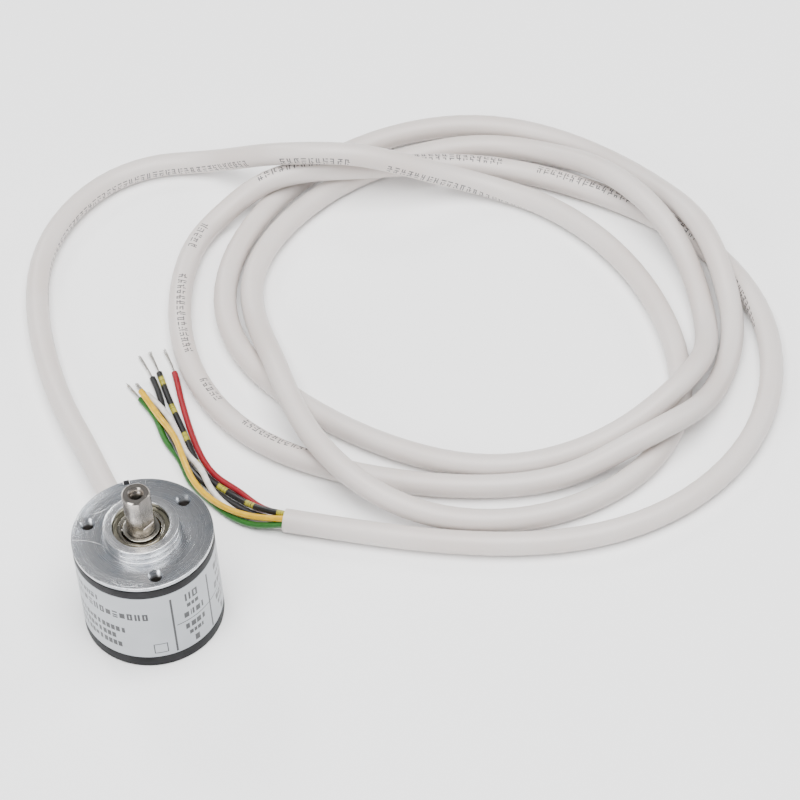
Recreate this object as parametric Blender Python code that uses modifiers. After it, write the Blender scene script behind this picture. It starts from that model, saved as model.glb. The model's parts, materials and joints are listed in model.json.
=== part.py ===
"""A 30 mm rotary encoder: flange, bearings, shaft, code disc, optics, board, cap, cable and leads.

The frame stands on the middle of the cap's underside. +Z runs along the shaft.
+Y is the way the cable leaves. Sizes are in metres, written as millimetres times MM.
"""

import math

import bmesh
import bpy
import numpy as np
from mathutils import Matrix, Vector

MM = 0.001

# Fits
CLEARANCE = 0.3 * MM  # between faces that rest on each other
RUNNING_FIT = 0.1 * MM  # radial gap of a ring on the shaft, or of a ball in its groove

# Overall sizes
BODY_RADIUS = 15.0 * MM
BODY_HEIGHT = 26.0 * MM  # underside of the cap to the flange's face
BOSS_RADIUS = 8.0 * MM
BOSS_HEIGHT = 3.0 * MM
BOSS_GROOVE = 0.2 * MM  # relief sunk in the face at the foot of the boss
SHAFT_RADIUS = 3.0 * MM
SHAFT_LENGTH = 13.0 * MM  # stands this far above the flange's face

# Shaft end
FLAT_DEPTH = 0.5 * MM
FLAT_LENGTH = 8.5 * MM
FLAT_ANGLE = math.radians(-59.0)
SHAFT_CHAMFER = 0.3 * MM
CENTRE_HOLE_RADIUS = 1.25 * MM
CENTRE_SINK_RADIUS = 1.7 * MM
CENTRE_HOLE_DEPTH = 5.0 * MM

# Flange
RIM_HEIGHT = 0.8 * MM
EDGE_CHAMFER = 0.25 * MM
FLANGE_THICKNESS = 6.4 * MM
SEAT_WALL = 1.1 * MM  # around the rear bearing
FIXING_CIRCLE = 12.0 * MM
FIXING_COUNT = 3
FIXING_FIRST = math.radians(-90.0)
FIXING_DRILL = 1.3 * MM
FIXING_MOUTH = 1.65 * MM
FIXING_DEPTH = 4.0 * MM

# Bearings, front and rear alike
BEARING_RADIUS = 6.0 * MM
BEARING_WIDTH = 4.0 * MM
BEARING_RECESS = 1.0 * MM  # front bearing below the boss
BEARING_SHOULDER = 2.0 * MM
RING_WALL = 0.8 * MM
OUTER_RING_WALL = 0.9 * MM
BALL_RADIUS = 0.794 * MM
BALL_COUNT = 7
CAGE_THICKNESS = 0.35 * MM
SHIELD_THICKNESS = 0.25 * MM
SHIELD_DEPTH = 0.3 * MM
SPRING_WIDTH = 0.6 * MM
SPRING_THICKNESS = 0.2 * MM
SPRING_WAVE = 0.1 * MM
SPRING_WAVES = 3
SPRING_SPACE = 1.2 * MM

# Seal between flange and cap
SEAL_WIDTH = 0.5 * MM
SEAL_GROOVE_WIDTH = 1.1 * MM
SEAL_LAND = 0.6 * MM

# Cap
CAP_WALL = 1.0 * MM
CAP_FLOOR = 1.2 * MM
KEY_WIDTH = 1.2 * MM
KEY_DEPTH = 0.6 * MM
KEY_ABOVE_FLANGE = 0.4 * MM

# Label
LABEL_TOP = 22.6 * MM
LABEL_BOTTOM = 3.0 * MM
LABEL_THICKNESS = 0.15 * MM
LABEL_GAP = 0.15 * MM
LABEL_ARC_STEPS = 33  # of the cap's steps round

# Code disc and what holds it
CIRCLIP_THICKNESS = 0.6 * MM
CIRCLIP_GROOVE_DEPTH = 0.5 * MM
CIRCLIP_WIDTH = 1.6 * MM
CIRCLIP_OPENING = 2.2 * MM
HUB_RADIUS = 4.6 * MM
HUB_FLANGE_RADIUS = 6.0 * MM
HUB_FLANGE_THICKNESS = 0.5 * MM
HUB_HEIGHT = 1.6 * MM
SET_SCREW_RADIUS = 0.45 * MM
DISC_RADIUS = 10.2 * MM
DISC_THICKNESS = 0.5 * MM

# Optics, on one radius of the disc
OPTICS_RADIUS = 9.2 * MM
OPTICS_ANGLE = math.radians(-90.0)
DISC_GAP = 0.6 * MM
LED_RADIUS = 1.0 * MM
LED_LENGTH = 2.4 * MM
LENS_THICKNESS = 0.9 * MM
HOLDER_LENGTH = 4.4 * MM
HOLDER_WIDTH = 5.0 * MM
MASK_SIZE = (4.0 * MM, 5.6 * MM, 0.4 * MM)
SENSOR_SIZE = (5.0 * MM, 6.2 * MM, 0.6 * MM)

# Circuit board
BOARD_THICKNESS = 1.2 * MM
BOARD_EDGE_GAP = 0.6 * MM
STANDOFF_CIRCLE = 12.0 * MM
STANDOFF_RADIUS = 1.3 * MM
STANDOFF_FIRST = 0.0
STANDOFF_COUNT = 3
SCREW_RADIUS = 0.7 * MM
SCREW_HEAD_RADIUS = 1.4 * MM
SCREW_HEAD_HEIGHT = 0.8 * MM
SCREW_GRIP = 2.5 * MM
DRIVER_SIZE = (5.0 * MM, 4.0 * MM, 1.0 * MM)
DRIVER_PLACE = (5.5 * MM, -2.0 * MM)
HEADER_SIZE = (8.0 * MM, 3.0 * MM, 2.4 * MM)
HEADER_PLACE = (0.0, -7.0 * MM)
CAPACITOR_RADIUS = 1.6 * MM
CAPACITOR_HEIGHT = 2.6 * MM
CAPACITOR_PLACE = (-6.0 * MM, -1.0 * MM)

# Cable and its way out
CABLE_RADIUS = 2.6 * MM
CABLE_EXIT_HEIGHT = 5.5 * MM
CABLE_START = 9.0 * MM
CABLE_FIT = 0.25 * MM
GROMMET_WALL = 0.55 * MM
GROMMET_LIP = 0.6 * MM
GROMMET_LIP_THICKNESS = 1.0 * MM
GROMMET_NOSE = 2.2 * MM
SLEEVE_WALL = 0.35 * MM
SLEEVE_LENGTH = 1.8 * MM
TUBE_STEP = 26.0 * MM  # a longer stretch between route points gets one more point
LEAD_RADIUS = 0.7 * MM
STRAND_RADIUS = 0.2 * MM
STRAND_STEP = 0.3 * MM
LEAD_POINTS = 16

# Faceting
BODY_STEPS = 40
RING_STEPS = 24
HOLE_STEPS = 16
SMALL_STEPS = 12
BALL_SEGMENTS = 8
BALL_RINGS = 6
GROOVE_STEPS = 4

# The cable's way across the bench, in millimetres: three loose turns that cross over themselves.
CABLE_ROUTE = [
    (-0.8, 24.5, 5.4), (-2.6, 32, 5.0), (-4.7, 48, 4.3), (-6.9, 70, 3.1), (-1.5, 105, 2.7),
    (20.5, 125.5, 2.7), (41.9, 123.6, 3.6), (54, 113.5, 11.5), (65.9, 106.9, 14.6), (77.6, 102.8, 13.3),
    (90.9, 99.1, 7.6), (106.1, 92.3, 2.7), (121, 73.5, 2.7), (128.5, 42.5, 2.7), (120, 11, 2.7),
    (94.5, -3, 2.7), (68, 1, 3.3), (50.5, 14, 7.1), (42.5, 33.5, 8.8), (41, 53, 8.4), (41, 70.5, 3.7),
    (46.5, 89.5, 2.7), (69.5, 106.5, 2.7), (100, 109.5, 2.7), (118.5, 100, 3.8), (129, 84.5, 8.7),
    (137.5, 63.5, 6.7), (137, 39, 2.7), (129, 22, 8.3), (116, 14, 7.4), (99.5, 11.5, 3.2),
    (75.5, 15, 2.8), (50, 36.5, 2.7), (35, 68, 2.7), (45, 97.5, 2.7), (73.5, 116, 2.7), (106, 115, 2.7),
    (128.5, 98, 2.8), (139.5, 78.5, 5.4), (143.5, 61, 9.2), (144, 45.5, 5.8), (140.5, 31, 2.9),
    (131, 17, 4), (119, 8, 8.8), (105.5, 5.5, 6.6), (89, 5.5, 3.2), (62.5, 14, 2.7), (33.5, 36, 2.7),
    (23.5, 67, 2.7), (30.5, 94, 2.7), (42, 105.5, 3.7), (56, 108.5, 8.1), (74.5, 106, 7.7),
    (97.5, 103.5, 3.5), (120, 90.5, 2.7), (142.5, 64, 2.7), (149, 31.5, 2.7), (134.5, 2, 2.7),
    (104.5, -12, 2.7), (69.5, -6, 2.7), (32.5, 13, 2.7),
]

# Each lead's bare strand, and its way from the jacket's cut end to the strand's tip, in millimetres.
LEADS = {
    "lead_red": (7.5, [
        (32.4, 14.7, 2.7), (28.3, 19.7, 1.4), (25.2, 25.6, 0.8), (21.6, 31.3, 0.8), (19.8, 37.8, 0.8),
        (19.3, 44.5, 0.8), (19.3, 51.3, 0.8), (19.6, 58, 0.8), (19.9, 64.7, 0.8), (19.3, 71.4, 0.8),
    ]),
    "lead_banded": (7.0, [
        (32, 14.1, 4), (27.4, 18.8, 2.5), (23.9, 24.6, 0.9), (20.2, 30.5, 0.8), (18.3, 37.2, 0.8),
        (17.8, 44.1, 0.8), (17.3, 51.1, 0.8), (16.8, 58, 0.8), (16.6, 65, 0.8), (16, 71.9, 0.8),
    ]),
    "lead_black": (7.7, [
        (32, 14.1, 1.4), (26.6, 18.5, 0.8), (22.2, 24, 0.8), (18.6, 30.1, 1), (15.8, 36.5, 2.4),
        (14.8, 43.5, 1.9), (14.6, 50.4, 0.8), (15.1, 57.5, 0.8), (14.7, 64.6, 0.8), (13.5, 71.5, 0.8),
    ]),
    "lead_yellow": (2.5, [
        (31.4, 12.7, 4), (26.2, 16.1, 2.8), (21.6, 20.3, 2.3), (18, 25.5, 2.3), (16, 31.4, 2.7),
        (15.4, 37.5, 4.1), (15, 43.8, 3.5), (13.7, 49.8, 2.4), (12.2, 55.9, 2.3), (10.7, 62.1, 2.3),
    ]),
    "lead_green": (5.7, [
        (31, 12.1, 2.7), (25.5, 15.2, 1.4), (21.2, 20.1, 0.8), (18, 25.9, 0.8), (15.6, 32.2, 0.8),
        (14.9, 38.7, 0.8), (13.3, 44.9, 0.8), (12.8, 51.5, 0.8), (11.1, 57.8, 0.8), (8.9, 64.1, 0.8),
    ]),
    "lead_white": (4.5, [
        (31.4, 12.7, 1.4), (26.3, 16.4, 0.9), (22.3, 21.3, 0.9), (19.5, 26.9, 2), (18.5, 33.1, 2.6),
        (16.8, 39.2, 1.7), (16.3, 45.4, 1.6), (15, 51.6, 2.3), (13.2, 57.5, 1.3), (10.9, 63.5, 0.9),
    ]),
}

# Levels along the shaft, from the flange down
BOSS_TOP = BODY_HEIGHT + BOSS_HEIGHT
SHAFT_TOP = BODY_HEIGHT + SHAFT_LENGTH
FLANGE_BOTTOM = BODY_HEIGHT - FLANGE_THICKNESS
FRONT_BEARING_TOP = BOSS_TOP - BEARING_RECESS
FRONT_BEARING_BOTTOM = FRONT_BEARING_TOP - BEARING_WIDTH
SHOULDER_TOP = FRONT_BEARING_BOTTOM - CLEARANCE
SHOULDER_BOTTOM = SHOULDER_TOP - BEARING_SHOULDER
REAR_BEARING_TOP = SHOULDER_BOTTOM - SPRING_SPACE
REAR_BEARING_BOTTOM = REAR_BEARING_TOP - BEARING_WIDTH
SEAT_BOTTOM = REAR_BEARING_BOTTOM - CLEARANCE
CIRCLIP_TOP = REAR_BEARING_BOTTOM - CLEARANCE
HUB_TOP = CIRCLIP_TOP - CIRCLIP_THICKNESS - CLEARANCE
DISC_TOP = HUB_TOP - HUB_HEIGHT - CLEARANCE
DISC_BOTTOM = DISC_TOP - DISC_THICKNESS
SHAFT_BOTTOM = DISC_BOTTOM - CLEARANCE
MASK_TOP = DISC_BOTTOM - DISC_GAP
SENSOR_TOP = MASK_TOP - MASK_SIZE[2] - CLEARANCE
BOARD_TOP = SENSOR_TOP - SENSOR_SIZE[2] - CLEARANCE
BOARD_BOTTOM = BOARD_TOP - BOARD_THICKNESS

# Radii that follow from the sizes above
SEAT_RADIUS = BEARING_RADIUS + RUNNING_FIT
INNER_RING_BORE = SHAFT_RADIUS + RUNNING_FIT
INNER_RING_RADIUS = INNER_RING_BORE + RING_WALL
OUTER_RING_BORE = BEARING_RADIUS - OUTER_RING_WALL
BALL_CIRCLE = (INNER_RING_RADIUS + OUTER_RING_BORE) / 2
CAP_BORE = BODY_RADIUS - CAP_WALL
SPIGOT_RADIUS = CAP_BORE - CLEARANCE
BORE_ON_SHAFT = SHAFT_RADIUS + RUNNING_FIT
GROMMET_RADIUS = CABLE_RADIUS + CABLE_FIT + GROMMET_WALL + GROMMET_LIP
GROMMET_LIP_START = BODY_RADIUS + CLEARANCE
GROMMET_END = GROMMET_LIP_START + GROMMET_LIP_THICKNESS + GROMMET_NOSE

MATERIALS = {
    "turned_aluminium": ((0.62, 0.63, 0.65), 0.28, 1.0),
    "bearing_steel": ((0.35, 0.34, 0.32), 0.22, 1.0),
    "shaft_steel": ((0.55, 0.53, 0.51), 0.25, 1.0),
    "dark_plastic": ((0.055, 0.056, 0.058), 0.45, 0.0),
    "label_film": ((0.58, 0.60, 0.63), 0.4, 0.0),
    "black_rubber": ((0.02, 0.02, 0.02), 0.7, 0.0),
    "brass": ((0.7, 0.52, 0.22), 0.3, 1.0),
    "disc_glass": ((0.75, 0.8, 0.8), 0.1, 0.0),
    "board_green": ((0.03, 0.2, 0.09), 0.4, 0.0),
    "component_black": ((0.02, 0.02, 0.022), 0.5, 0.0),
    "cable_white": ((0.76, 0.72, 0.70), 0.4, 0.0),
    "lead_red": ((0.45, 0.03, 0.05), 0.4, 0.0),
    "lead_black": ((0.03, 0.028, 0.028), 0.4, 0.0),
    "lead_yellow": ((0.80, 0.52, 0.03), 0.4, 0.0),
    "lead_green": ((0.08, 0.30, 0.09), 0.4, 0.0),
    "lead_white": ((0.72, 0.69, 0.67), 0.4, 0.0),
}


def clear_scene():
    for obj in list(bpy.data.objects):
        bpy.data.objects.remove(obj, do_unlink=True)


def new_collection(name):
    collection = bpy.data.collections.new(name)
    bpy.context.scene.collection.children.link(collection)
    return collection


def make_material(name, node_name):
    """Each object has its own copy of the finish."""
    colour, roughness, metallic = MATERIALS[name]
    material = bpy.data.materials.new(node_name)
    material.use_nodes = True
    shader = material.node_tree.nodes["Principled BSDF"]
    shader.inputs["Base Color"].default_value = (*colour, 1.0)
    shader.inputs["Roughness"].default_value = roughness
    shader.inputs["Metallic"].default_value = metallic
    return material


class Model:
    """Makes named pieces, and keeps the cutters apart from them."""

    def __init__(self):
        clear_scene()
        self.parts = new_collection("rotary_encoder")
        self.cutters = new_collection("cutters")
        self.cutters.hide_render = True
        self.parent = None

    def add_empty(self, name):
        """An empty on the shaft's axis, which the pieces made after it hang from."""
        empty = bpy.data.objects.new(name, None)
        self.parts.objects.link(empty)
        self.parent = empty
        return empty

    def add(self, name, data, material, is_cutter=False):
        obj = bpy.data.objects.new(name, data)
        if is_cutter:
            self.cutters.objects.link(obj)
            obj.hide_render = True
            obj.display_type = "WIRE"
            return obj
        self.parts.objects.link(obj)
        obj.parent = self.parent
        obj.data.materials.append(make_material(material, name))
        return obj

    def turned(self, name, profile, steps, material="dark_plastic", is_cutter=False):
        """Turns a profile of (radius, height) points about Z.

        A profile that starts and ends on the axis stays open there. Any other is closed on itself.
        """
        on_axis = profile[0][0] == 0 and profile[-1][0] == 0
        area = sum(a[0] * b[1] - b[0] * a[1] for a, b in zip(profile, profile[1:] + profile[:1]))
        points = profile if area < 0 else profile[::-1]
        edges = [(i, i + 1) for i in range(len(points) - 1)]
        if not on_axis:
            edges.append((len(points) - 1, 0))
        mesh = bpy.data.meshes.new(name)
        mesh.from_pydata([(r, 0, z) for r, z in points], edges, [])
        obj = self.add(name, mesh, material, is_cutter)
        screw = obj.modifiers.new("Turn", "SCREW")
        screw.steps = screw.render_steps = steps
        screw.use_merge_vertices = True
        screw.merge_threshold = 1e-7
        screw.use_smooth_shade = True
        return obj

    def from_bmesh(self, name, make, material="dark_plastic", is_cutter=False):
        mesh = bpy.data.meshes.new(name)
        bm = bmesh.new()
        make(bm)
        bm.to_mesh(mesh)
        bm.free()
        return self.add(name, mesh, material, is_cutter)

    def box(self, name, size, centre, material="dark_plastic", angle=0.0, is_cutter=False, bevel=0.0):
        place = Matrix.Rotation(angle, 4, "Z") @ Matrix.Translation(centre) @ Matrix.Diagonal((*size, 1.0))

        def make(bm):
            bmesh.ops.create_cube(bm, size=1.0, matrix=place)

        obj = self.from_bmesh(name, make, material, is_cutter)
        if bevel:
            rounding = obj.modifiers.new("Edges", "BEVEL")
            rounding.width = bevel
            rounding.segments = 1
        return obj

    def rod(self, name, radius, bottom, top, steps, material="dark_plastic", is_cutter=False):
        """An upright cylinder on the Z axis."""
        place = Matrix.Translation((0, 0, (bottom + top) / 2))
        size = {"radius1": radius, "radius2": radius, "depth": top - bottom, "segments": steps}

        def make(bm):
            bmesh.ops.create_cone(bm, cap_ends=True, matrix=place, **size)

        obj = self.from_bmesh(name, make, material, is_cutter)
        obj.data.shade_smooth()
        obj.data.set_sharp_from_angle(angle=math.radians(40))
        return obj

    def ball(self, name, centre, material):
        steps = {"u_segments": BALL_SEGMENTS, "v_segments": BALL_RINGS}

        def make(bm):
            bmesh.ops.create_uvsphere(bm, radius=BALL_RADIUS, **steps)

        obj = self.from_bmesh(name, make, material)
        obj.location = centre
        obj.data.shade_smooth()
        return obj

    def tube(self, name, points, radius, material, thin_from=None):
        """A round bar through the points. Points from thin_from on are a bare strand."""
        curve = bpy.data.curves.new(name, "CURVE")
        curve.dimensions = "3D"
        curve.bevel_depth = radius
        curve.bevel_resolution = 2
        curve.use_fill_caps = True
        spline = curve.splines.new("POLY")
        spline.points.add(len(points) - 1)
        for index, point in enumerate(points):
            spline.points[index].co = (*point, 1.0)
            if thin_from is not None and index >= thin_from:
                spline.points[index].radius = STRAND_RADIUS / radius
        return self.add(name, curve, material)

    def cut(self, target, cutter, operation="DIFFERENCE"):
        boolean = target.modifiers.new(cutter.name, "BOOLEAN")
        boolean.operation = operation
        boolean.object = cutter
        boolean.solver = "EXACT"


def round_about(count, first):
    return [first + 2 * math.pi * index / count for index in range(count)]


def polar(radius, angle, height=0.0):
    return Vector((radius * math.cos(angle), radius * math.sin(angle), height))


def ring_profile(inner, outer, bottom, top):
    return [(inner, bottom), (inner, top), (outer, top), (outer, bottom)]


def smooth_curve(points, per_span):
    """A natural cubic spline through the points, with per_span[i] points on stretch i."""
    points = np.array(points, float)
    count = len(points)
    system = np.eye(count)
    bends = np.zeros_like(points)
    for i in range(1, count - 1):
        system[i, i - 1 : i + 2] = (1, 4, 1)
        bends[i] = 6 * (points[i - 1] - 2 * points[i] + points[i + 1])
    curvature = np.linalg.solve(system, bends)
    found = []
    for i, steps in enumerate(per_span):
        for step in range(steps):
            x = step / steps
            y = 1 - x
            bent = (y**3 - y) * curvature[i] + (x**3 - x) * curvature[i + 1]
            found.append(y * points[i] + x * points[i + 1] + bent / 6)
    found.append(points[-1])
    return found


def make_flange(model):
    """The aluminium body: rim, boss, fixing holes, spigot with the seal groove, and both bearing seats."""
    rim_bottom = BODY_HEIGHT - RIM_HEIGHT
    groove_bottom = FLANGE_BOTTOM + SEAL_LAND
    groove_top = groove_bottom + SEAL_GROOVE_WIDTH
    groove_radius = SPIGOT_RADIUS - SEAL_WIDTH - CLEARANCE
    shoulder_radius = OUTER_RING_BORE
    seat_outside = SEAT_RADIUS + SEAT_WALL
    profile = [
        (SEAT_RADIUS, BOSS_TOP),
        (BOSS_RADIUS - EDGE_CHAMFER, BOSS_TOP),
        (BOSS_RADIUS, BOSS_TOP - EDGE_CHAMFER),
        (BOSS_RADIUS, BODY_HEIGHT - BOSS_GROOVE),
        (BOSS_RADIUS + BOSS_GROOVE, BODY_HEIGHT - BOSS_GROOVE),
        (BOSS_RADIUS + 2 * BOSS_GROOVE, BODY_HEIGHT),
        (BODY_RADIUS - EDGE_CHAMFER, BODY_HEIGHT),
        (BODY_RADIUS, BODY_HEIGHT - EDGE_CHAMFER),
        (BODY_RADIUS, rim_bottom),
        (SPIGOT_RADIUS, rim_bottom),
        (SPIGOT_RADIUS, groove_top),
        (groove_radius, groove_top),
        (groove_radius, groove_bottom),
        (SPIGOT_RADIUS, groove_bottom),
        (SPIGOT_RADIUS, FLANGE_BOTTOM),
        (seat_outside, FLANGE_BOTTOM),
        (seat_outside, SEAT_BOTTOM),
        (SEAT_RADIUS, SEAT_BOTTOM),
        (SEAT_RADIUS, SHOULDER_BOTTOM),
        (shoulder_radius, SHOULDER_BOTTOM),
        (shoulder_radius, SHOULDER_TOP),
        (SEAT_RADIUS, SHOULDER_TOP),
    ]
    flange = model.turned("flange", profile, BODY_STEPS, "turned_aluminium")
    mouth = FIXING_MOUTH - FIXING_DRILL
    above = BODY_HEIGHT + BOSS_HEIGHT
    drill = [
        (0, above),
        (FIXING_MOUTH, above),
        (FIXING_MOUTH, BODY_HEIGHT),
        (FIXING_DRILL, BODY_HEIGHT - mouth),
        (FIXING_DRILL, BODY_HEIGHT - FIXING_DEPTH),
        (0, BODY_HEIGHT - FIXING_DEPTH),
    ]
    for index, angle in enumerate(round_about(FIXING_COUNT, FIXING_FIRST)):
        cutter = model.turned(f"fixing_drill_{index + 1}", drill, HOLE_STEPS, is_cutter=True)
        cutter.location = polar(FIXING_CIRCLE, angle)
        model.cut(flange, cutter)
    notch_size = (KEY_WIDTH + 2 * CLEARANCE, 2 * (KEY_DEPTH + CLEARANCE), 4 * RIM_HEIGHT)
    notch = model.box("key_notch", notch_size, (0, BODY_RADIUS, BODY_HEIGHT), is_cutter=True)
    model.cut(flange, notch)
    seal_centre = groove_radius + CLEARANCE + SEAL_WIDTH / 2
    seal_height = (groove_bottom + groove_top) / 2
    seal = [
        (seal_centre + SEAL_WIDTH / 2 * math.cos(a), seal_height + SEAL_WIDTH / 2 * math.sin(a))
        for a in round_about(6, 0.0)
    ]
    model.turned("housing_o_ring", seal, BODY_STEPS, "black_rubber")


def make_cap(model):
    """The cap with its recess for the label, its key at the rim and the cable's hole, and the label."""
    top = BODY_HEIGHT - RIM_HEIGHT - CLEARANCE
    recess = BODY_RADIUS - LABEL_THICKNESS - LABEL_GAP
    profile = [
        (CAP_BORE, top),
        (BODY_RADIUS, top),
        (BODY_RADIUS, LABEL_TOP + LABEL_GAP),
        (recess, LABEL_TOP + LABEL_GAP),
        (recess, LABEL_BOTTOM - LABEL_GAP),
        (BODY_RADIUS, LABEL_BOTTOM - LABEL_GAP),
        (BODY_RADIUS, EDGE_CHAMFER),
        (BODY_RADIUS - EDGE_CHAMFER, 0),
        (0, 0),
    ]
    inside = [(0, CAP_FLOOR), (CAP_BORE, CAP_FLOOR)]
    cap = model.turned("housing_cap", profile[::-1] + inside[::-1], BODY_STEPS, "dark_plastic")
    key_top = BODY_HEIGHT + KEY_ABOVE_FLANGE
    key_bottom = top - RIM_HEIGHT
    key = model.box(
        "rim_key",
        (KEY_WIDTH, KEY_DEPTH, key_top - key_bottom),
        (0, BODY_RADIUS - KEY_DEPTH / 2 - LABEL_GAP, (key_top + key_bottom) / 2),
        is_cutter=True,
    )
    model.cut(cap, key, "UNION")
    hole_radius = CABLE_RADIUS + CABLE_FIT + GROMMET_WALL + CLEARANCE
    drill = model.rod("cable_hole", hole_radius, CAP_BORE / 2, 2 * BODY_RADIUS, RING_STEPS, is_cutter=True)
    drill.rotation_euler = (-math.pi / 2, 0, 0)
    drill.location = (0, 0, CABLE_EXIT_HEIGHT)
    model.cut(cap, drill)
    lip_room = GROMMET_RADIUS + CLEARANCE / 2
    lip_end = math.sqrt(CAP_BORE**2 - lip_room**2) * math.cos(math.pi / BODY_STEPS)
    pocket = model.rod("lip_pocket", lip_room, CAP_BORE / 2, lip_end, RING_STEPS, is_cutter=True)
    pocket.rotation_euler = (-math.pi / 2, 0, 0)
    pocket.location = (0, 0, CABLE_EXIT_HEIGHT)
    model.cut(cap, pocket)

    step = 2 * math.pi / BODY_STEPS
    turn = LABEL_ARC_STEPS * step
    start = math.pi / 2 + (2 * math.pi - turn) / 2
    mesh = bpy.data.meshes.new("label_wrap")
    inner = BODY_RADIUS - LABEL_THICKNESS
    foot = polar(inner, start)
    mesh.from_pydata([(foot.x, foot.y, LABEL_TOP), (foot.x, foot.y, LABEL_BOTTOM)], [(0, 1)], [])
    label = model.add("label_wrap", mesh, "label_film")
    screw = label.modifiers.new("Wrap", "SCREW")
    screw.steps = screw.render_steps = LABEL_ARC_STEPS
    screw.angle = turn
    screw.use_smooth_shade = True
    thicken = label.modifiers.new("Film", "SOLIDIFY")
    thicken.thickness = LABEL_THICKNESS
    thicken.offset = 1.0


def make_bearing(model, name, bottom, shield_above):
    """The outer ring and its shield, which stay still. The rest is made by the rotor and by the cage."""
    middle = bottom + BEARING_WIDTH / 2
    top = bottom + BEARING_WIDTH
    groove = groove_arc(middle, outward=True)
    outer = [(BEARING_RADIUS, bottom), (OUTER_RING_BORE, bottom)] + groove
    outer += [(OUTER_RING_BORE, top), (BEARING_RADIUS, top)]
    model.turned(f"{name}_bearing_outer_ring", outer, RING_STEPS, "bearing_steel")
    face = top - SHIELD_DEPTH if shield_above else bottom + SHIELD_DEPTH + SHIELD_THICKNESS
    inner_edge = INNER_RING_RADIUS + CLEARANCE
    outer_edge = OUTER_RING_BORE - RUNNING_FIT
    shield = ring_profile(inner_edge, outer_edge, face - SHIELD_THICKNESS, face)
    model.turned(f"{name}_bearing_shield", shield, RING_STEPS, "bearing_steel")


def groove_arc(middle, outward):
    """The ball groove's points, from its lower edge to its upper edge, as (radius, height)."""
    radius = BALL_RADIUS + RUNNING_FIT
    land = OUTER_RING_BORE if outward else INNER_RING_RADIUS
    side = 1 if outward else -1
    half = math.acos(side * (land - BALL_CIRCLE) / radius)
    turns = [half * (2 * i / GROOVE_STEPS - 1) for i in range(GROOVE_STEPS + 1)]
    return [(BALL_CIRCLE + side * radius * math.cos(a), middle + radius * math.sin(a)) for a in turns]


def make_inner_ring(model, name, bottom):
    middle = bottom + BEARING_WIDTH / 2
    top = bottom + BEARING_WIDTH
    groove = groove_arc(middle, outward=False)
    profile = [(INNER_RING_BORE, bottom), (INNER_RING_RADIUS, bottom)] + groove
    profile += [(INNER_RING_RADIUS, top), (INNER_RING_BORE, top)]
    model.turned(f"{name}_bearing_inner_ring", profile, RING_STEPS, "bearing_steel")


def make_cage(model, name, bottom):
    """A crown cage with a finger between each pair of balls, and the balls."""
    middle = bottom + BEARING_WIDTH / 2
    half = (OUTER_RING_BORE - INNER_RING_RADIUS) / 2 - CLEARANCE
    cage_top = middle - BALL_RADIUS - RUNNING_FIT
    crown = ring_profile(BALL_CIRCLE - half, BALL_CIRCLE + half, cage_top - CAGE_THICKNESS, cage_top)
    cage = model.turned(f"{name}_bearing_cage", crown, RING_STEPS, "brass")
    half_pitch = math.pi / BALL_COUNT
    finger_width = 2 * BALL_CIRCLE * math.sin(half_pitch) - 2 * (BALL_RADIUS + CLEARANCE)
    finger_height = BALL_RADIUS + RUNNING_FIT + CAGE_THICKNESS / 2

    def make_fingers(bm):
        for angle in round_about(BALL_COUNT, half_pitch):
            place = Matrix.Rotation(angle, 4, "Z") @ Matrix.Translation(
                (BALL_CIRCLE, 0, cage_top - CAGE_THICKNESS / 2 + finger_height / 2)
            )
            size = Matrix.Diagonal((2 * half - 2 * RUNNING_FIT, finger_width, finger_height, 1.0))
            bmesh.ops.create_cube(bm, size=1.0, matrix=place @ size)

    fingers = model.from_bmesh(f"{name}_cage_fingers", make_fingers, is_cutter=True)
    model.cut(cage, fingers, "UNION")
    for index, angle in enumerate(round_about(BALL_COUNT, 0.0)):
        model.ball(f"{name}_bearing_ball_{index + 1}", polar(BALL_CIRCLE, angle, middle), "bearing_steel")


def make_wave_spring(model):
    """A thin waved washer between the shoulder and the rear outer ring."""
    inner = OUTER_RING_BORE + RUNNING_FIT
    outer = inner + SPRING_WIDTH
    height = REAR_BEARING_TOP + SPRING_SPACE / 2

    def make(bm):
        loops = [[], []]
        for angle in round_about(RING_STEPS, 0.0):
            level = height + SPRING_WAVE * math.sin(SPRING_WAVES * angle)
            for loop, radius in zip(loops, (inner, outer)):
                loop.append(bm.verts.new(polar(radius, angle, level)))
        for i in range(RING_STEPS):
            j = (i + 1) % RING_STEPS
            bm.faces.new((loops[0][i], loops[1][i], loops[1][j], loops[0][j]))

    spring = model.from_bmesh("wave_spring", make, "bearing_steel")
    thicken = spring.modifiers.new("Strip", "SOLIDIFY")
    thicken.thickness = SPRING_THICKNESS
    thicken.offset = 0.0


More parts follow.
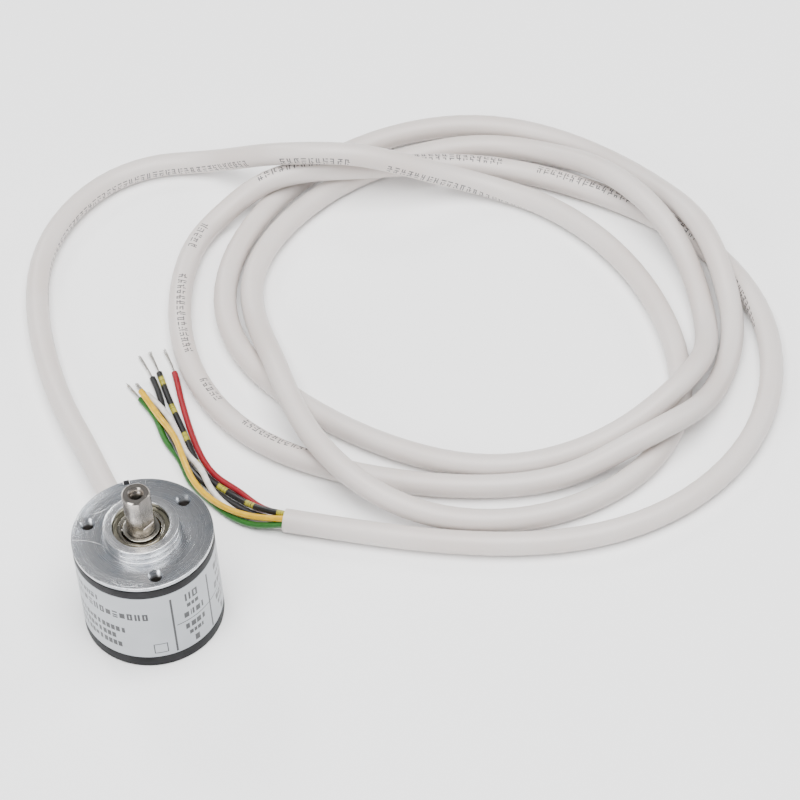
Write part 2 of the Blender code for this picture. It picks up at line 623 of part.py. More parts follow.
def make_shaft(model):
    """The shaft with its end hole, flat and circlip groove."""
    hole_bottom = SHAFT_TOP - CENTRE_HOLE_DEPTH
    sink = CENTRE_SINK_RADIUS - CENTRE_HOLE_RADIUS
    groove_radius = SHAFT_RADIUS - CIRCLIP_GROOVE_DEPTH
    groove_top = CIRCLIP_TOP + RUNNING_FIT
    groove_bottom = CIRCLIP_TOP - CIRCLIP_THICKNESS - RUNNING_FIT
    profile = [
        (0, hole_bottom - CENTRE_HOLE_RADIUS / 2),
        (CENTRE_HOLE_RADIUS, hole_bottom),
        (CENTRE_HOLE_RADIUS, SHAFT_TOP - sink),
        (CENTRE_SINK_RADIUS, SHAFT_TOP),
        (SHAFT_RADIUS - SHAFT_CHAMFER, SHAFT_TOP),
        (SHAFT_RADIUS, SHAFT_TOP - SHAFT_CHAMFER),
        (SHAFT_RADIUS, groove_top),
        (groove_radius, groove_top),
        (groove_radius, groove_bottom),
        (SHAFT_RADIUS, groove_bottom),
        (SHAFT_RADIUS, SHAFT_BOTTOM),
        (0, SHAFT_BOTTOM),
    ]
    shaft = model.turned("shaft", profile, RING_STEPS, "shaft_steel")
    width = 2 * SHAFT_RADIUS
    size = (width, 2 * width, 2 * FLAT_LENGTH)
    centre = (SHAFT_RADIUS - FLAT_DEPTH + width / 2, 0, SHAFT_TOP)
    flat = model.box("shaft_flat", size, centre, angle=FLAT_ANGLE, is_cutter=True)
    model.cut(shaft, flat)


def make_rotor(model):
    """What turns with the shaft."""
    model.add_empty("rotor_axis")
    make_shaft(model)
    make_inner_ring(model, "front", FRONT_BEARING_BOTTOM)
    make_inner_ring(model, "rear", REAR_BEARING_BOTTOM)
    spacer_bottom = REAR_BEARING_TOP + CLEARANCE
    spacer = ring_profile(BORE_ON_SHAFT, INNER_RING_RADIUS, spacer_bottom, SHOULDER_TOP)
    model.turned("bearing_spacer", spacer, RING_STEPS, "shaft_steel")

    clip_bore = SHAFT_RADIUS - CIRCLIP_GROOVE_DEPTH + RUNNING_FIT
    clip_outside = clip_bore + CIRCLIP_WIDTH
    clip = ring_profile(clip_bore, clip_outside, CIRCLIP_TOP - CIRCLIP_THICKNESS, CIRCLIP_TOP)
    circlip = model.turned("shaft_circlip", clip, RING_STEPS, "bearing_steel")
    opening = (2 * clip_outside, CIRCLIP_OPENING, 4 * CIRCLIP_THICKNESS)
    gap = model.box("circlip_gap", opening, (clip_outside, 0, CIRCLIP_TOP), is_cutter=True)
    model.cut(circlip, gap)

    hub_bottom = HUB_TOP - HUB_HEIGHT
    hub = [
        (BORE_ON_SHAFT, HUB_TOP),
        (HUB_RADIUS, HUB_TOP),
        (HUB_RADIUS, hub_bottom + HUB_FLANGE_THICKNESS),
        (HUB_FLANGE_RADIUS, hub_bottom + HUB_FLANGE_THICKNESS),
        (HUB_FLANGE_RADIUS, hub_bottom),
        (BORE_ON_SHAFT, hub_bottom),
    ]
    disc_hub = model.turned("disc_hub", hub, RING_STEPS, "brass")
    screw_height = (HUB_TOP + hub_bottom + HUB_FLANGE_THICKNESS) / 2
    bore = SET_SCREW_RADIUS + RUNNING_FIT
    drill = model.rod("set_screw_hole", bore, SHAFT_RADIUS / 2, 2 * HUB_RADIUS, SMALL_STEPS, is_cutter=True)
    reach = (BORE_ON_SHAFT, HUB_RADIUS - RUNNING_FIT)
    screw = model.rod("hub_set_screw", SET_SCREW_RADIUS, *reach, SMALL_STEPS, "bearing_steel")
    for obj in (drill, screw):
        obj.rotation_euler = (0, math.pi / 2, 0)
        obj.location = (0, 0, screw_height)
    model.cut(disc_hub, drill)

    disc = ring_profile(BORE_ON_SHAFT, DISC_RADIUS, DISC_BOTTOM, DISC_TOP)
    model.turned("code_disc", disc, BODY_STEPS, "disc_glass")


def make_optics(model):
    """The lamp over the disc, with its lens and holder, and the mask and sensor under it."""
    seat_outside = SEAT_RADIUS + SEAT_WALL
    holder_bottom = DISC_TOP + DISC_GAP
    holder_top = FLANGE_BOTTOM - CLEARANCE
    size = (HOLDER_LENGTH, HOLDER_WIDTH, holder_top - holder_bottom)
    inner_face = seat_outside + CLEARANCE
    centre = (inner_face + HOLDER_LENGTH / 2, 0, (holder_top + holder_bottom) / 2)
    holder = model.box("led_holder", size, centre, "component_black", OPTICS_ANGLE)
    bore = LED_RADIUS + CLEARANCE
    lens_bottom = holder_bottom + CLEARANCE
    lens_top = lens_bottom + LENS_THICKNESS
    led_bottom = lens_top + CLEARANCE
    led_top = led_bottom + LED_LENGTH
    drill = model.rod("led_bore", bore, DISC_BOTTOM, led_top + CLEARANCE, HOLE_STEPS, is_cutter=True)
    drill.location = polar(OPTICS_RADIUS, OPTICS_ANGLE)
    model.cut(holder, drill)
    dome = [
        (LED_RADIUS * math.cos(a), led_bottom + LED_RADIUS - LED_RADIUS * math.sin(a))
        for a in (0, math.pi / 6, math.pi / 3)
    ]
    led_profile = [(0, led_bottom), *dome[::-1], (LED_RADIUS, led_top), (0, led_top)]
    led = model.turned("led", led_profile, HOLE_STEPS, "disc_glass")
    led.location = polar(OPTICS_RADIUS, OPTICS_ANGLE)
    edge = LENS_THICKNESS / 3
    lens_profile = [
        (0, lens_top),
        (LED_RADIUS / 2, lens_top - edge / 3),
        (LED_RADIUS, lens_top - edge),
        (LED_RADIUS, lens_bottom),
        (0, lens_bottom),
    ]
    lens = model.turned("collimator_lens", lens_profile, HOLE_STEPS, "disc_glass")
    lens.location = polar(OPTICS_RADIUS, OPTICS_ANGLE)
    mask_centre = (OPTICS_RADIUS, 0, MASK_TOP - MASK_SIZE[2] / 2)
    model.box("scanning_mask", MASK_SIZE, mask_centre, "disc_glass", OPTICS_ANGLE)
    sensor_centre = (OPTICS_RADIUS, 0, SENSOR_TOP - SENSOR_SIZE[2] / 2)
    model.box("sensor_chip", SENSOR_SIZE, sensor_centre, "component_black", OPTICS_ANGLE)


def make_board(model):
    """The board on its three standoffs, its screws, and what is soldered on its underside."""
    board_radius = CAP_BORE - BOARD_EDGE_GAP
    board = model.rod("circuit_board", board_radius, BOARD_BOTTOM, BOARD_TOP, BODY_STEPS, "board_green")
    hole = (SCREW_RADIUS + CLEARANCE, BOARD_BOTTOM - BOARD_THICKNESS, BOARD_TOP + BOARD_THICKNESS)
    standoff_bottom = BOARD_TOP + CLEARANCE
    standoff_top = FLANGE_BOTTOM - CLEARANCE
    head_top = BOARD_BOTTOM - CLEARANCE
    head_bottom = head_top - SCREW_HEAD_HEIGHT
    tip = standoff_bottom + SCREW_GRIP
    socket_top = tip + CLEARANCE
    socket = SCREW_RADIUS + RUNNING_FIT
    post = [
        (socket, standoff_bottom),
        (STANDOFF_RADIUS, standoff_bottom),
        (STANDOFF_RADIUS, standoff_top),
        (0, standoff_top),
        (0, socket_top),
        (socket, socket_top),
    ]
    post = post[4:] + post[:4]
    screw = [
        (0, tip),
        (SCREW_RADIUS, tip),
        (SCREW_RADIUS, head_top),
        (SCREW_HEAD_RADIUS, head_top),
        (SCREW_HEAD_RADIUS, head_bottom),
        (0, head_bottom),
    ]
    for index, angle in enumerate(round_about(STANDOFF_COUNT, STANDOFF_FIRST)):
        place = polar(STANDOFF_CIRCLE, angle)
        cutter = model.rod(f"board_hole_{index + 1}", *hole, HOLE_STEPS, is_cutter=True)
        cutter.location = place
        model.cut(board, cutter)
        model.turned(f"board_standoff_{index + 1}", post, SMALL_STEPS, "brass").location = place
        model.turned(f"board_screw_{index + 1}", screw, SMALL_STEPS, "bearing_steel").location = place
    notch_depth = BODY_RADIUS - CABLE_START
    notch_size = (2 * (GROMMET_RADIUS + CLEARANCE), notch_depth, 4 * BOARD_THICKNESS)
    notch_centre = (0, CABLE_START + notch_depth / 2, BOARD_BOTTOM)
    notch = model.box("cable_notch", notch_size, notch_centre, is_cutter=True)
    model.cut(board, notch)
    below = BOARD_BOTTOM - CLEARANCE
    driver_centre = (*DRIVER_PLACE, below - DRIVER_SIZE[2] / 2)
    model.box("driver_ic", DRIVER_SIZE, driver_centre, "component_black")
    header_centre = (*HEADER_PLACE, below - HEADER_SIZE[2] / 2)
    model.box("wire_header", HEADER_SIZE, header_centre, "component_black")
    capacitor = model.rod(
        "capacitor", CAPACITOR_RADIUS, below - CAPACITOR_HEIGHT, below, HOLE_STEPS, "turned_aluminium"
    )
    capacitor.location = (*CAPACITOR_PLACE, 0)


def make_cable_exit(model):
    """The rubber grommet in the cap's wall, and the crimp sleeve that holds the cable inside."""
    bore = CABLE_RADIUS + CABLE_FIT
    neck = bore + GROMMET_WALL
    lip = GROMMET_RADIUS
    wall_inside = math.sqrt(CAP_BORE**2 - lip**2) * math.cos(math.pi / BODY_STEPS)
    inner_lip_end = wall_inside - CLEARANCE
    outer_lip_end = GROMMET_LIP_START + GROMMET_LIP_THICKNESS
    profile = [
        (bore, inner_lip_end - GROMMET_LIP_THICKNESS),
        (lip, inner_lip_end - GROMMET_LIP_THICKNESS),
        (lip, inner_lip_end),
        (neck, inner_lip_end),
        (neck, GROMMET_LIP_START),
        (lip, GROMMET_LIP_START),
        (lip, outer_lip_end),
        (bore + GROMMET_WALL / 2, GROMMET_END),
        (bore, GROMMET_END),
    ]
    sleeve_bore = CABLE_RADIUS + CABLE_FIT
    sleeve_start = CABLE_START + CLEARANCE
    sleeve = ring_profile(sleeve_bore, sleeve_bore + SLEEVE_WALL, sleeve_start, sleeve_start + SLEEVE_LENGTH)
    pieces = (("cable_grommet", profile, "black_rubber"), ("cable_crimp_sleeve", sleeve, "brass"))
    for name, shape, material in pieces:
        obj = model.turned(name, shape, RING_STEPS, material)
        obj.rotation_euler = (-math.pi / 2, 0, 0)
        obj.location = (0, 0, CABLE_EXIT_HEIGHT)


def make_cable(model):
    """The jacket along its whole route, and the six leads at its cut end."""
    inside = [Vector((0, y, CABLE_EXIT_HEIGHT)) for y in (CABLE_START, GROMMET_END)]
    route = inside + [Vector(point) * MM for point in CABLE_ROUTE]
    steps = [math.ceil((b - a).length / TUBE_STEP) for a, b in zip(route, route[1:])]
    model.tube("cable_jacket", smooth_curve(route, steps), CABLE_RADIUS, "cable_white")
    for name, (strand, route) in LEADS.items():
        points = np.array(smooth_curve(route, [8] * (len(route) - 1))) * MM
        gaps = np.linalg.norm(np.diff(points, axis=0), axis=1)
        along = np.concatenate([[0.0], np.cumsum(gaps)])
        bare = along[-1] - strand * MM
        places = list(np.linspace(0, bare, LEAD_POINTS)) + [bare + STRAND_STEP, along[-1]]
        wire = np.array([np.interp(places, along, points[:, axis]) for axis in range(3)]).T
        material = "lead_black" if name == "lead_banded" else name
        model.tube(name, wire, LEAD_RADIUS, material, thin_from=LEAD_POINTS)


def main():
    model = Model()
    model.add_empty("stator_axis")
    make_flange(model)
    make_cap(model)
    make_bearing(model, "front", FRONT_BEARING_BOTTOM, shield_above=True)
    make_bearing(model, "rear", REAR_BEARING_BOTTOM, shield_above=False)
    make_wave_spring(model)
    make_optics(model)
    make_board(model)
    make_cable_exit(model)
    make_cable(model)
    make_rotor(model)
    for name, bottom in (("front", FRONT_BEARING_BOTTOM), ("rear", REAR_BEARING_BOTTOM)):
        model.add_empty(f"{name}_cage_axis")
        make_cage(model, name, bottom)


main()
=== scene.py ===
"""Fine shapes and finishes for a 30 mm rotary encoder that stands on a bench beside its coiled cable.

Each sub-assembly is a class with its sizes as fields. Sizes are millimetres, and MM turns them into metres.
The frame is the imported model's own: +Z along the shaft, +Y the way the cable leaves, the base at zero.
"""

import json
import logging
import math
import random
from dataclasses import dataclass, field
from enum import Enum
from typing import Iterator, Sequence

import bpy
import numpy as np
from mathutils import Matrix, Vector


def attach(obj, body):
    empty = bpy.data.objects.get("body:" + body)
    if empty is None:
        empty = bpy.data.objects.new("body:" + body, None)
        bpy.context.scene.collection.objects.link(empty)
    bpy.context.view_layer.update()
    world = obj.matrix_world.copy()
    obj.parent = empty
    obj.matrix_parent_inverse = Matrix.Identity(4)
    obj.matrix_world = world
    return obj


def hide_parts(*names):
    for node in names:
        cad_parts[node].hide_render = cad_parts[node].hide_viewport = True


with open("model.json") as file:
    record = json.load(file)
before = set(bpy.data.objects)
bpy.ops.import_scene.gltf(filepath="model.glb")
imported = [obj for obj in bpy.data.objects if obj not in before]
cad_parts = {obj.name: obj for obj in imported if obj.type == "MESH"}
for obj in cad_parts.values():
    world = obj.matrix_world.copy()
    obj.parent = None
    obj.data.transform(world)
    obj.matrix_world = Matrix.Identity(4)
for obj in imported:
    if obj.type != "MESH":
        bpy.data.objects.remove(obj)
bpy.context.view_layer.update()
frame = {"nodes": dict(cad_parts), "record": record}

LOG = logging.getLogger("encoder")
MM = 0.001

Point = tuple[float, float, float]
Colour = tuple[float, float, float]
Outline = list[tuple[float, float]]


class Body(Enum):
    """The rigid bodies that pieces ride on."""

    HOUSING = "housing"
    ROTOR = "rotor"


class Hue(Enum):
    """The insulation colours of the leads, as the base colour of their plastic."""

    RED = (0.24, 0.005, 0.012)
    BLACK = (0.012, 0.011, 0.011)
    YELLOW = (0.62, 0.36, 0.0)
    GREEN = (0.018, 0.11, 0.014)
    WHITE = (0.66, 0.62, 0.58)
    OLIVE = (0.36, 0.32, 0.03)


class Stroke(Enum):
    """The plain signs that stand for the label's printing. None of them is a letter."""

    BLOCK = 0
    FRAME = 1
    COLUMNS = 2
    STEPS = 3


# Shader maths ---------------------------------------------------------------------------------------------


class Shade:
    """A number that varies over a surface. Arithmetic on it adds Math nodes to its graph."""

    def __init__(self, graph: "Graph", socket: bpy.types.NodeSocket) -> None:
        """Wraps an output socket of the graph.

        Args:
            graph: The graph that the socket belongs to.
            socket: The output that carries the number.
        """
        self.graph = graph
        self.socket = socket

    def __add__(self, other: "Shade | float") -> "Shade":
        """Adds."""
        return self.graph.math("ADD", self, other)

    def __radd__(self, other: float) -> "Shade":
        """Adds to a plain number."""
        return self.graph.math("ADD", other, self)

    def __sub__(self, other: "Shade | float") -> "Shade":
        """Subtracts."""
        return self.graph.math("SUBTRACT", self, other)

    def __rsub__(self, other: float) -> "Shade":
        """Subtracts from a plain number."""
        return self.graph.math("SUBTRACT", other, self)

    def __mul__(self, other: "Shade | float") -> "Shade":
        """Multiplies."""
        return self.graph.math("MULTIPLY", self, other)

    def __rmul__(self, other: float) -> "Shade":
        """Multiplies a plain number."""
        return self.graph.math("MULTIPLY", other, self)

    def __truediv__(self, other: "Shade | float") -> "Shade":
        """Divides."""
        return self.graph.math("DIVIDE", self, other)

    def __abs__(self) -> "Shade":
        """Drops the sign."""
        return self.graph.math("ABSOLUTE", self)

    def __gt__(self, other: "Shade | float") -> "Shade":
        """Is 1 where this is above the other, and 0 elsewhere."""
        return self.graph.math("GREATER_THAN", self, other)

    def __lt__(self, other: "Shade | float") -> "Shade":
        """Is 1 where this is below the other, and 0 elsewhere."""
        return self.graph.math("LESS_THAN", self, other)

    def floor(self) -> "Shade":
        """Rounds down."""
        return self.graph.math("FLOOR", self)

    def wrapped(self) -> "Shade":
        """Keeps what is after the decimal point."""
        return self.graph.math("FRACT", self)

    def ramp(self, low: float, high: float) -> "Shade":
        """Rises smoothly from 0 at low to 1 at high. It falls if low is the larger.

        Args:
            low: Where the ramp is 0.
            high: Where the ramp is 1.

        Returns:
            The ramp, clamped at both ends.
        """
        sockets = {0: self, 1: low, 2: high, 3: 0.0, 4: 1.0}
        made = self.graph.node("ShaderNodeMapRange", {"interpolation_type": "SMOOTHSTEP"}, sockets)
        return Shade(self.graph, made.outputs[0])


class Graph:
    """One material's nodes, with one method that makes any of them."""

    def __init__(self, name: str) -> None:
        """Starts a material with its Principled shader.

        Args:
            name: The material's name.
        """
        self.material = bpy.data.materials.new(name)
        self.material.use_nodes = True
        self.tree = self.material.node_tree
        self.shader = self.tree.nodes["Principled BSDF"]
        self._place: Shade | None = None

    def node(self, kind: str, settings: dict | None = None, sockets: dict | None = None) -> bpy.types.Node:
        """Makes a node. Its settings come first, because they decide which sockets it has.

        Args:
            kind: The node's type name.
            settings: Values of the node's own properties.
            sockets: Values or links of its inputs, by name or number.

        Returns:
            The node.
        """
        made = self.tree.nodes.new(kind)
        for key, value in (settings or {}).items():
            setattr(made, key, value)
        for key, value in (sockets or {}).items():
            self.feed(made.inputs[key], value)
        return made

    def feed(self, socket: bpy.types.NodeSocket, value: object) -> None:
        """Links a socket to what varies, or sets it to what doesn't.

        Args:
            socket: The input.
            value: A Shade, a socket, a number, or a colour of three numbers.
        """
        if isinstance(value, Shade):
            value = value.socket
        if isinstance(value, bpy.types.NodeSocket):
            self.tree.links.new(value, socket)
        elif socket.type == "RGBA":
            socket.default_value = (*value[:3], 1.0)
        else:
            socket.default_value = value

    def math(self, operation: str, *values: "Shade | float") -> Shade:
        """Makes one Math node.

        Args:
            operation: What it does.
            values: Its inputs in order.

        Returns:
            Its result.
        """
        made = self.node("ShaderNodeMath", {"operation": operation}, dict(enumerate(values)))
        return Shade(self, made.outputs[0])

    def place(self) -> Shade:
        """Gives the point on the piece in millimetres, as a vector socket."""
        if self._place is None:
            source = self.node("ShaderNodeTexCoord").outputs["Object"]
            sockets = {"Vector": source, "Scale": 1 / MM}
            scaled = self.node("ShaderNodeVectorMath", {"operation": "SCALE"}, sockets)
            self._place = Shade(self, scaled.outputs[0])
        return self._place

    def axes(self) -> tuple[Shade, Shade, Shade]:
        """Gives the point's x, y and z in millimetres."""
        split = self.node("ShaderNodeSeparateXYZ", None, {0: self.place()})
        return tuple(Shade(self, output) for output in split.outputs)

    def radius(self, x: Shade, y: Shade) -> Shade:
        """Gives the distance from an upright axis.

        Args:
            x: The distance along X from that axis.
            y: The distance along Y from that axis.

        Returns:
            The distance in millimetres.
        """
        return self.math("SQRT", x * x + y * y)

    def attribute(self, name: str) -> Shade:
        """Gives a number that the mesh carries.

        Args:
            name: The attribute's name.

        Returns:
            Its value.
        """
        return Shade(self, self.node("ShaderNodeAttribute", {"attribute_name": name}).outputs["Fac"])

    def noise(self, scale: float, detail: float = 3.0, rough: float = 0.5) -> Shade:
        """Gives a cloudy pattern about 0.5.

        Args:
            scale: Its lumps in each millimetre.
            detail: How many finer layers it has.
            rough: How strong the finer layers are.

        Returns:
            The pattern.
        """
        sockets = {"Vector": self.place(), "Scale": scale, "Detail": detail, "Roughness": rough}
        return Shade(self, self.node("ShaderNodeTexNoise", None, sockets).outputs[0])

    def streaks(self, along: Shade, scale: float, detail: float = 4.0) -> Shade:
        """Gives uneven lines across one direction.

        Args:
            along: The distance across the lines.
            scale: Lines in each millimetre.
            detail: How many finer layers they have.

        Returns:
            The pattern, about 0.5.
        """
        sockets = {"W": along, "Scale": scale, "Detail": detail, "Roughness": 0.65}
        return Shade(self, self.node("ShaderNodeTexNoise", {"noise_dimensions": "1D"}, sockets).outputs[0])

    def chance(self, column: Shade, row: Shade) -> Shade:
        """Gives one random number to each whole-numbered cell.

        Args:
            column: The cell's column.
            row: The cell's row.

        Returns:
            A number from 0 to 1.
        """
        cell = self.node("ShaderNodeCombineXYZ", None, {0: column, 1: row})
        made = self.node("ShaderNodeTexWhiteNoise", {"noise_dimensions": "2D"}, {"Vector": cell.outputs[0]})
        return Shade(self, made.outputs[0])

    def mix(self, mask: Shade | float, low: object, high: object) -> bpy.types.NodeSocket:
        """Mixes two colours.

        Args:
            mask: 0 for the first colour and 1 for the second.
            low: The first colour.
            high: The second colour.

        Returns:
            The colour's socket.
        """
        made = self.node("ShaderNodeMix", {"data_type": "RGBA"}, {0: mask, 6: low, 7: high})
        return made.outputs[2]

    def bump(self, height: Shade, depth: float) -> None:
        """Gives the surface a fine relief.

        Args:
            height: The relief, from 0 to 1.
            depth: What 1 stands for, in millimetres.
        """
        sockets = {"Strength": 1.0, "Distance": depth * MM, "Height": height}
        self.feed(self.shader.inputs["Normal"], self.node("ShaderNodeBump", None, sockets).outputs[0])

    def surface(self, **values: object) -> None:
        """Feeds the shader's sockets.

        Args:
            values: Each socket's value, with _ for the spaces in its name.
        """
        names = {name.lower().replace(" ", "_"): name for name in self.shader.inputs.keys()}
        for key, value in values.items():
            self.feed(self.shader.inputs[names[key]], value)


# Finishes -------------------------------------------------------------------------------------------------


@dataclass(frozen=True)
class Scratch:
    """A hair-thin arc scratched in a flat face, through three points in millimetres."""

    start: tuple[float, float]
    middle: tuple[float, float]
    end: tuple[float, float]
    width: float = 0.045

    def mask(self, graph: Graph, x: Shade, y: Shade) -> Shade:
        """Marks the arc.

        Args:
            graph: The material's graph.
            x: The point's x.
            y: The point's y.

        Returns:
            1 on the scratch and 0 elsewhere.
        """
        points = np.array([self.start, self.middle, self.end])
        chords = 2 * (points[1:] - points[0])
        squares = (points[1:] ** 2).sum(1) - (points[0] ** 2).sum()
        centre = np.linalg.solve(chords, squares)
        radius = float(np.linalg.norm(points[0] - centre))
        ahead = (points[1] - centre) / radius
        reach = max(math.acos(float(np.clip((p - centre) @ ahead / radius, -1, 1))) for p in points)
        east, north = x - float(centre[0]), y - float(centre[1])
        forward = east * float(ahead[0]) + north * float(ahead[1])
        across = north * float(ahead[0]) - east * float(ahead[1])
        turn = abs(graph.math("ARCTAN2", across, forward))
        off = abs(graph.radius(east, north) - radius)
        return off.ramp(self.width, self.width * 0.3) * turn.ramp(reach, reach * 0.8)


@dataclass(frozen=True)
class HoleShade:
    """A hole whose inside is painted dark as shade, in millimetres."""

    centre: tuple[float, float]
    radius: float
    top: float


@dataclass(frozen=True)
class TurnedMetal:
    """Metal turned on a lathe: fine circles on its faces, fine lines round its sides, handling marks, and
    painted shade inside its holes.
    """

    name: str
    colour: Colour = (0.56, 0.57, 0.59)
    stain: Colour = (0.36, 0.385, 0.42)
    roughness: float = 0.25
    groove: float = 0.012
    pitch: float = 9.0
    # Inside this radius the metal is cut brighter.
    bright: float = 0.0
    scratches: tuple[Scratch, ...] = ()
    # Holes whose insides get painted shade.
    hole_shades: tuple[HoleShade, ...] = ()
    # Where the rim is worn: azimuth, half its width, and the radius that it starts at.
    wear: tuple[float, float, float] | None = None

    def material(self) -> bpy.types.Material:
        """Makes the material.

        Returns:
            The material.
        """
        graph = Graph(self.name)
        x, y, z = graph.axes()
        lines = graph.streaks(graph.radius(x, y) + z * 1.3, self.pitch)
        clouds = graph.noise(0.22, 4.0, 0.6)
        marks: Shade | float = 0.0
        for scratch in self.scratches:
            marks = scratch.mask(graph, x, y) * graph.noise(1.6, 2.0).ramp(0.3, 0.5) + marks
        worn = marks * 0.8 + self._specks(graph, x, y) * 0.8
        # Painted shade: deep in the holes the colour goes nearly black.
        dark = self._hole_shading(graph, x, y, z)
        base = graph.mix(clouds.ramp(0.38, 0.68), self.colour, self.stain)
        if self.bright:
            near = graph.radius(x, y).ramp(self.bright + 0.1, self.bright)
            base = graph.mix(near * 0.6, base, (0.86, 0.86, 0.87))
        base = graph.mix(worn, base, (0.90, 0.90, 0.90))
        base = graph.mix(dark, base, (0.05, 0.046, 0.04))
        shine = self.roughness + (lines - 0.5) * 0.2 + (clouds - 0.5) * 0.12 + worn * 0.25 + dark * 0.1
        graph.surface(base_color=base, roughness=shine, metallic=1.0)
        graph.bump(lines - worn * 1.5, self.groove)
        return graph.material

    def _specks(self, graph: Graph, x: Shade, y: Shade) -> Shade | float:
        """Marks small bright specks along the worn part of the rim.

        Args:
            graph: The material's graph.
            x: The point's x.
            y: The point's y.

        Returns:
            1 on a speck and 0 elsewhere.
        """
        if self.wear is None:
            return 0.0
        grain = graph.noise(4.5, 3.0, 0.6)
        azimuth, half, start = self.wear
        ahead = (math.cos(math.radians(azimuth)), math.sin(math.radians(azimuth)))
        turn = abs(graph.math("ARCTAN2", y * ahead[0] - x * ahead[1], x * ahead[0] + y * ahead[1]))
        sector = turn.ramp(math.radians(half), math.radians(half) * 0.5)
        band = graph.radius(x, y).ramp(start, start + 1.2)
        return grain.ramp(0.60, 0.66) * sector * band

    def _hole_shading(self, graph: Graph, x: Shade, y: Shade, z: Shade) -> Shade | float:
        """Marks the insides of the holes, where shade is painted.

        Args:
            graph: The material's graph.
            x: The point's x.
            y: The point's y.
            z: The point's z.

        Returns:
            1 deep in a hole, where shade is painted, and 0 outside.
        """
        total: Shade | float = 0.0
        for hole_shade in self.hole_shades:
            near = graph.radius(x - hole_shade.centre[0], y - hole_shade.centre[1]) < hole_shade.radius
            total = near * z.ramp(hole_shade.top - 0.5, hole_shade.top - 2.2) + total
        return total


@dataclass(frozen=True)
class MouldedPlastic:
    """Moulded plastic or rubber with a fine even grain."""

    name: str
    colour: Colour
    roughness: float = 0.45
    grain: float = 0.01
    gleam: float = 0.5

    def material(self) -> bpy.types.Material:
        """Makes the material.

        Returns:
            The material.
        """
        graph = Graph(self.name)
        clouds = graph.noise(0.25, 3.0)
        grain = graph.noise(9.0, 2.0, 0.6)
        lighter = tuple(min(1.0, c * 1.25 + 0.01) for c in self.colour)
        graph.surface(base_color=graph.mix(clouds.ramp(0.3, 0.8), self.colour, lighter))
        graph.surface(roughness=self.roughness + (clouds - 0.5) * 0.15 + (grain - 0.5) * 0.1)
        graph.surface(specular_ior_level=self.gleam)
        graph.bump(grain, self.grain)
        return graph.material


@dataclass(frozen=True)
class PrintedFilm:
    """Silver-grey label film. The mesh says which faces carry ink."""

    name: str
    film: Colour = (0.42, 0.44, 0.465)
    ink: Colour = (0.008, 0.008, 0.010)

    def material(self) -> bpy.types.Material:
        """Makes the material.

        Returns:
            The material.
        """
        graph = Graph(self.name)
        mask = graph.attribute("ink")
        fibres = graph.noise(3.0, 3.0, 0.6)
        clouds = graph.noise(0.12, 2.0)
        dull = tuple(c * 0.93 for c in self.film)
        paper = graph.mix(clouds.ramp(0.3, 0.7), self.film, dull)
        graph.surface(base_color=graph.mix(mask * 0.97, paper, self.ink))
        graph.surface(roughness=0.42 + (fibres - 0.5) * 0.1 - mask * 0.1, metallic=0.0)
        graph.bump(fibres * 0.5 + mask, 0.004)
        return graph.material


@dataclass(frozen=True)
class CableSheath:
    """Warm white sheath with a row of small printed dashes. The mesh carries the place on the cable."""

    name: str
    colour: Colour = (0.60, 0.555, 0.53)
    ink: Colour = (0.05, 0.05, 0.055)
    row: float = 0.66
    column: float = 0.55

    def material(self) -> bpy.types.Material:
        """Makes the material.

        Returns:
            The material.
        """
        graph = Graph(self.name)
        along = graph.attribute("along")
        across = graph.attribute("across")
        facing = graph.attribute("facing")
        column, row = along / self.column, across / self.row + 1.5
        dice = graph.chance(column.floor(), row.floor())
        upright = (column.wrapped() < 0.46) * (dice > 0.45)
        level = (row.wrapped() < 0.38) * (dice < 0.62)
        sign_gap = (along / (3 * self.column)).wrapped() > 0.28
        word_gap = graph.chance((along / (15 * self.column)).floor(), row * 0.0 + 7.0) > 0.25
        inside = (abs(across) < self.row * 1.5) * (facing > 0.0)
        ink = graph.math("MAXIMUM", upright, level) * sign_gap * word_gap * inside
        clouds = graph.noise(0.05, 3.0)
        grain = graph.noise(4.0, 3.0, 0.6)
        warm = tuple(c * f for c, f in zip(self.colour, (0.97, 0.945, 0.93)))
        sheath = graph.mix(clouds.ramp(0.35, 0.7), self.colour, warm)
        graph.surface(base_color=graph.mix(ink * 0.92, sheath, self.ink))
        graph.surface(roughness=0.40 + (grain - 0.5) * 0.16)
        graph.surface(subsurface_weight=0.12, subsurface_radius=(0.004, 0.003, 0.0025), subsurface_scale=0.4)
        graph.bump(grain, 0.012)
        return graph.material


@dataclass(frozen=True)
class WireSheath:
    """Glossy insulation of one lead, with bands of a second colour where it has them."""

    name: str
    hue: Hue
    band: Hue | None = None
    pitch: float = 8.8
    width: float = 0.3

    def material(self) -> bpy.types.Material:
        """Makes the material.

        Returns:
            The material.
        """
        graph = Graph(self.name)
        grain = graph.noise(3.0, 3.0)
        wave = graph.noise(0.7, 2.0)
        darker = tuple(c * 0.78 for c in self.hue.value)
        base = graph.mix(wave.ramp(0.3, 0.75), self.hue.value, darker)
        if self.band is not None:
            along = graph.attribute("along") / self.pitch
            edge = (grain - 0.5) * 0.08
            banded = (along + edge).wrapped() < self.width
            hatch = graph.streaks(graph.attribute("along"), 3.5, 2.0).ramp(0.36, 0.44)
            base = graph.mix(banded * hatch, base, self.band.value)
        graph.surface(base_color=base, roughness=0.34 + (grain - 0.5) * 0.14)
        graph.bump(grain, 0.008)
        return graph.material


@dataclass(frozen=True)
class TinnedStrand:
    """Thin tinned copper wire, a little dull."""

    name: str
    tin: Colour = (0.55, 0.53, 0.50)
    copper: Colour = (0.52, 0.36, 0.24)

    def material(self) -> bpy.types.Material:
        """Makes the material.

        Returns:
            The material.
        """
        graph = Graph(self.name)
        patches = graph.noise(1.1, 3.0)
        graph.surface(base_color=graph.mix(patches.ramp(0.56, 0.75), self.tin, self.copper))
        graph.surface(roughness=0.3 + (patches - 0.5) * 0.2, metallic=1.0)
        graph.bump(graph.noise(8.0), 0.004)
        return graph.material


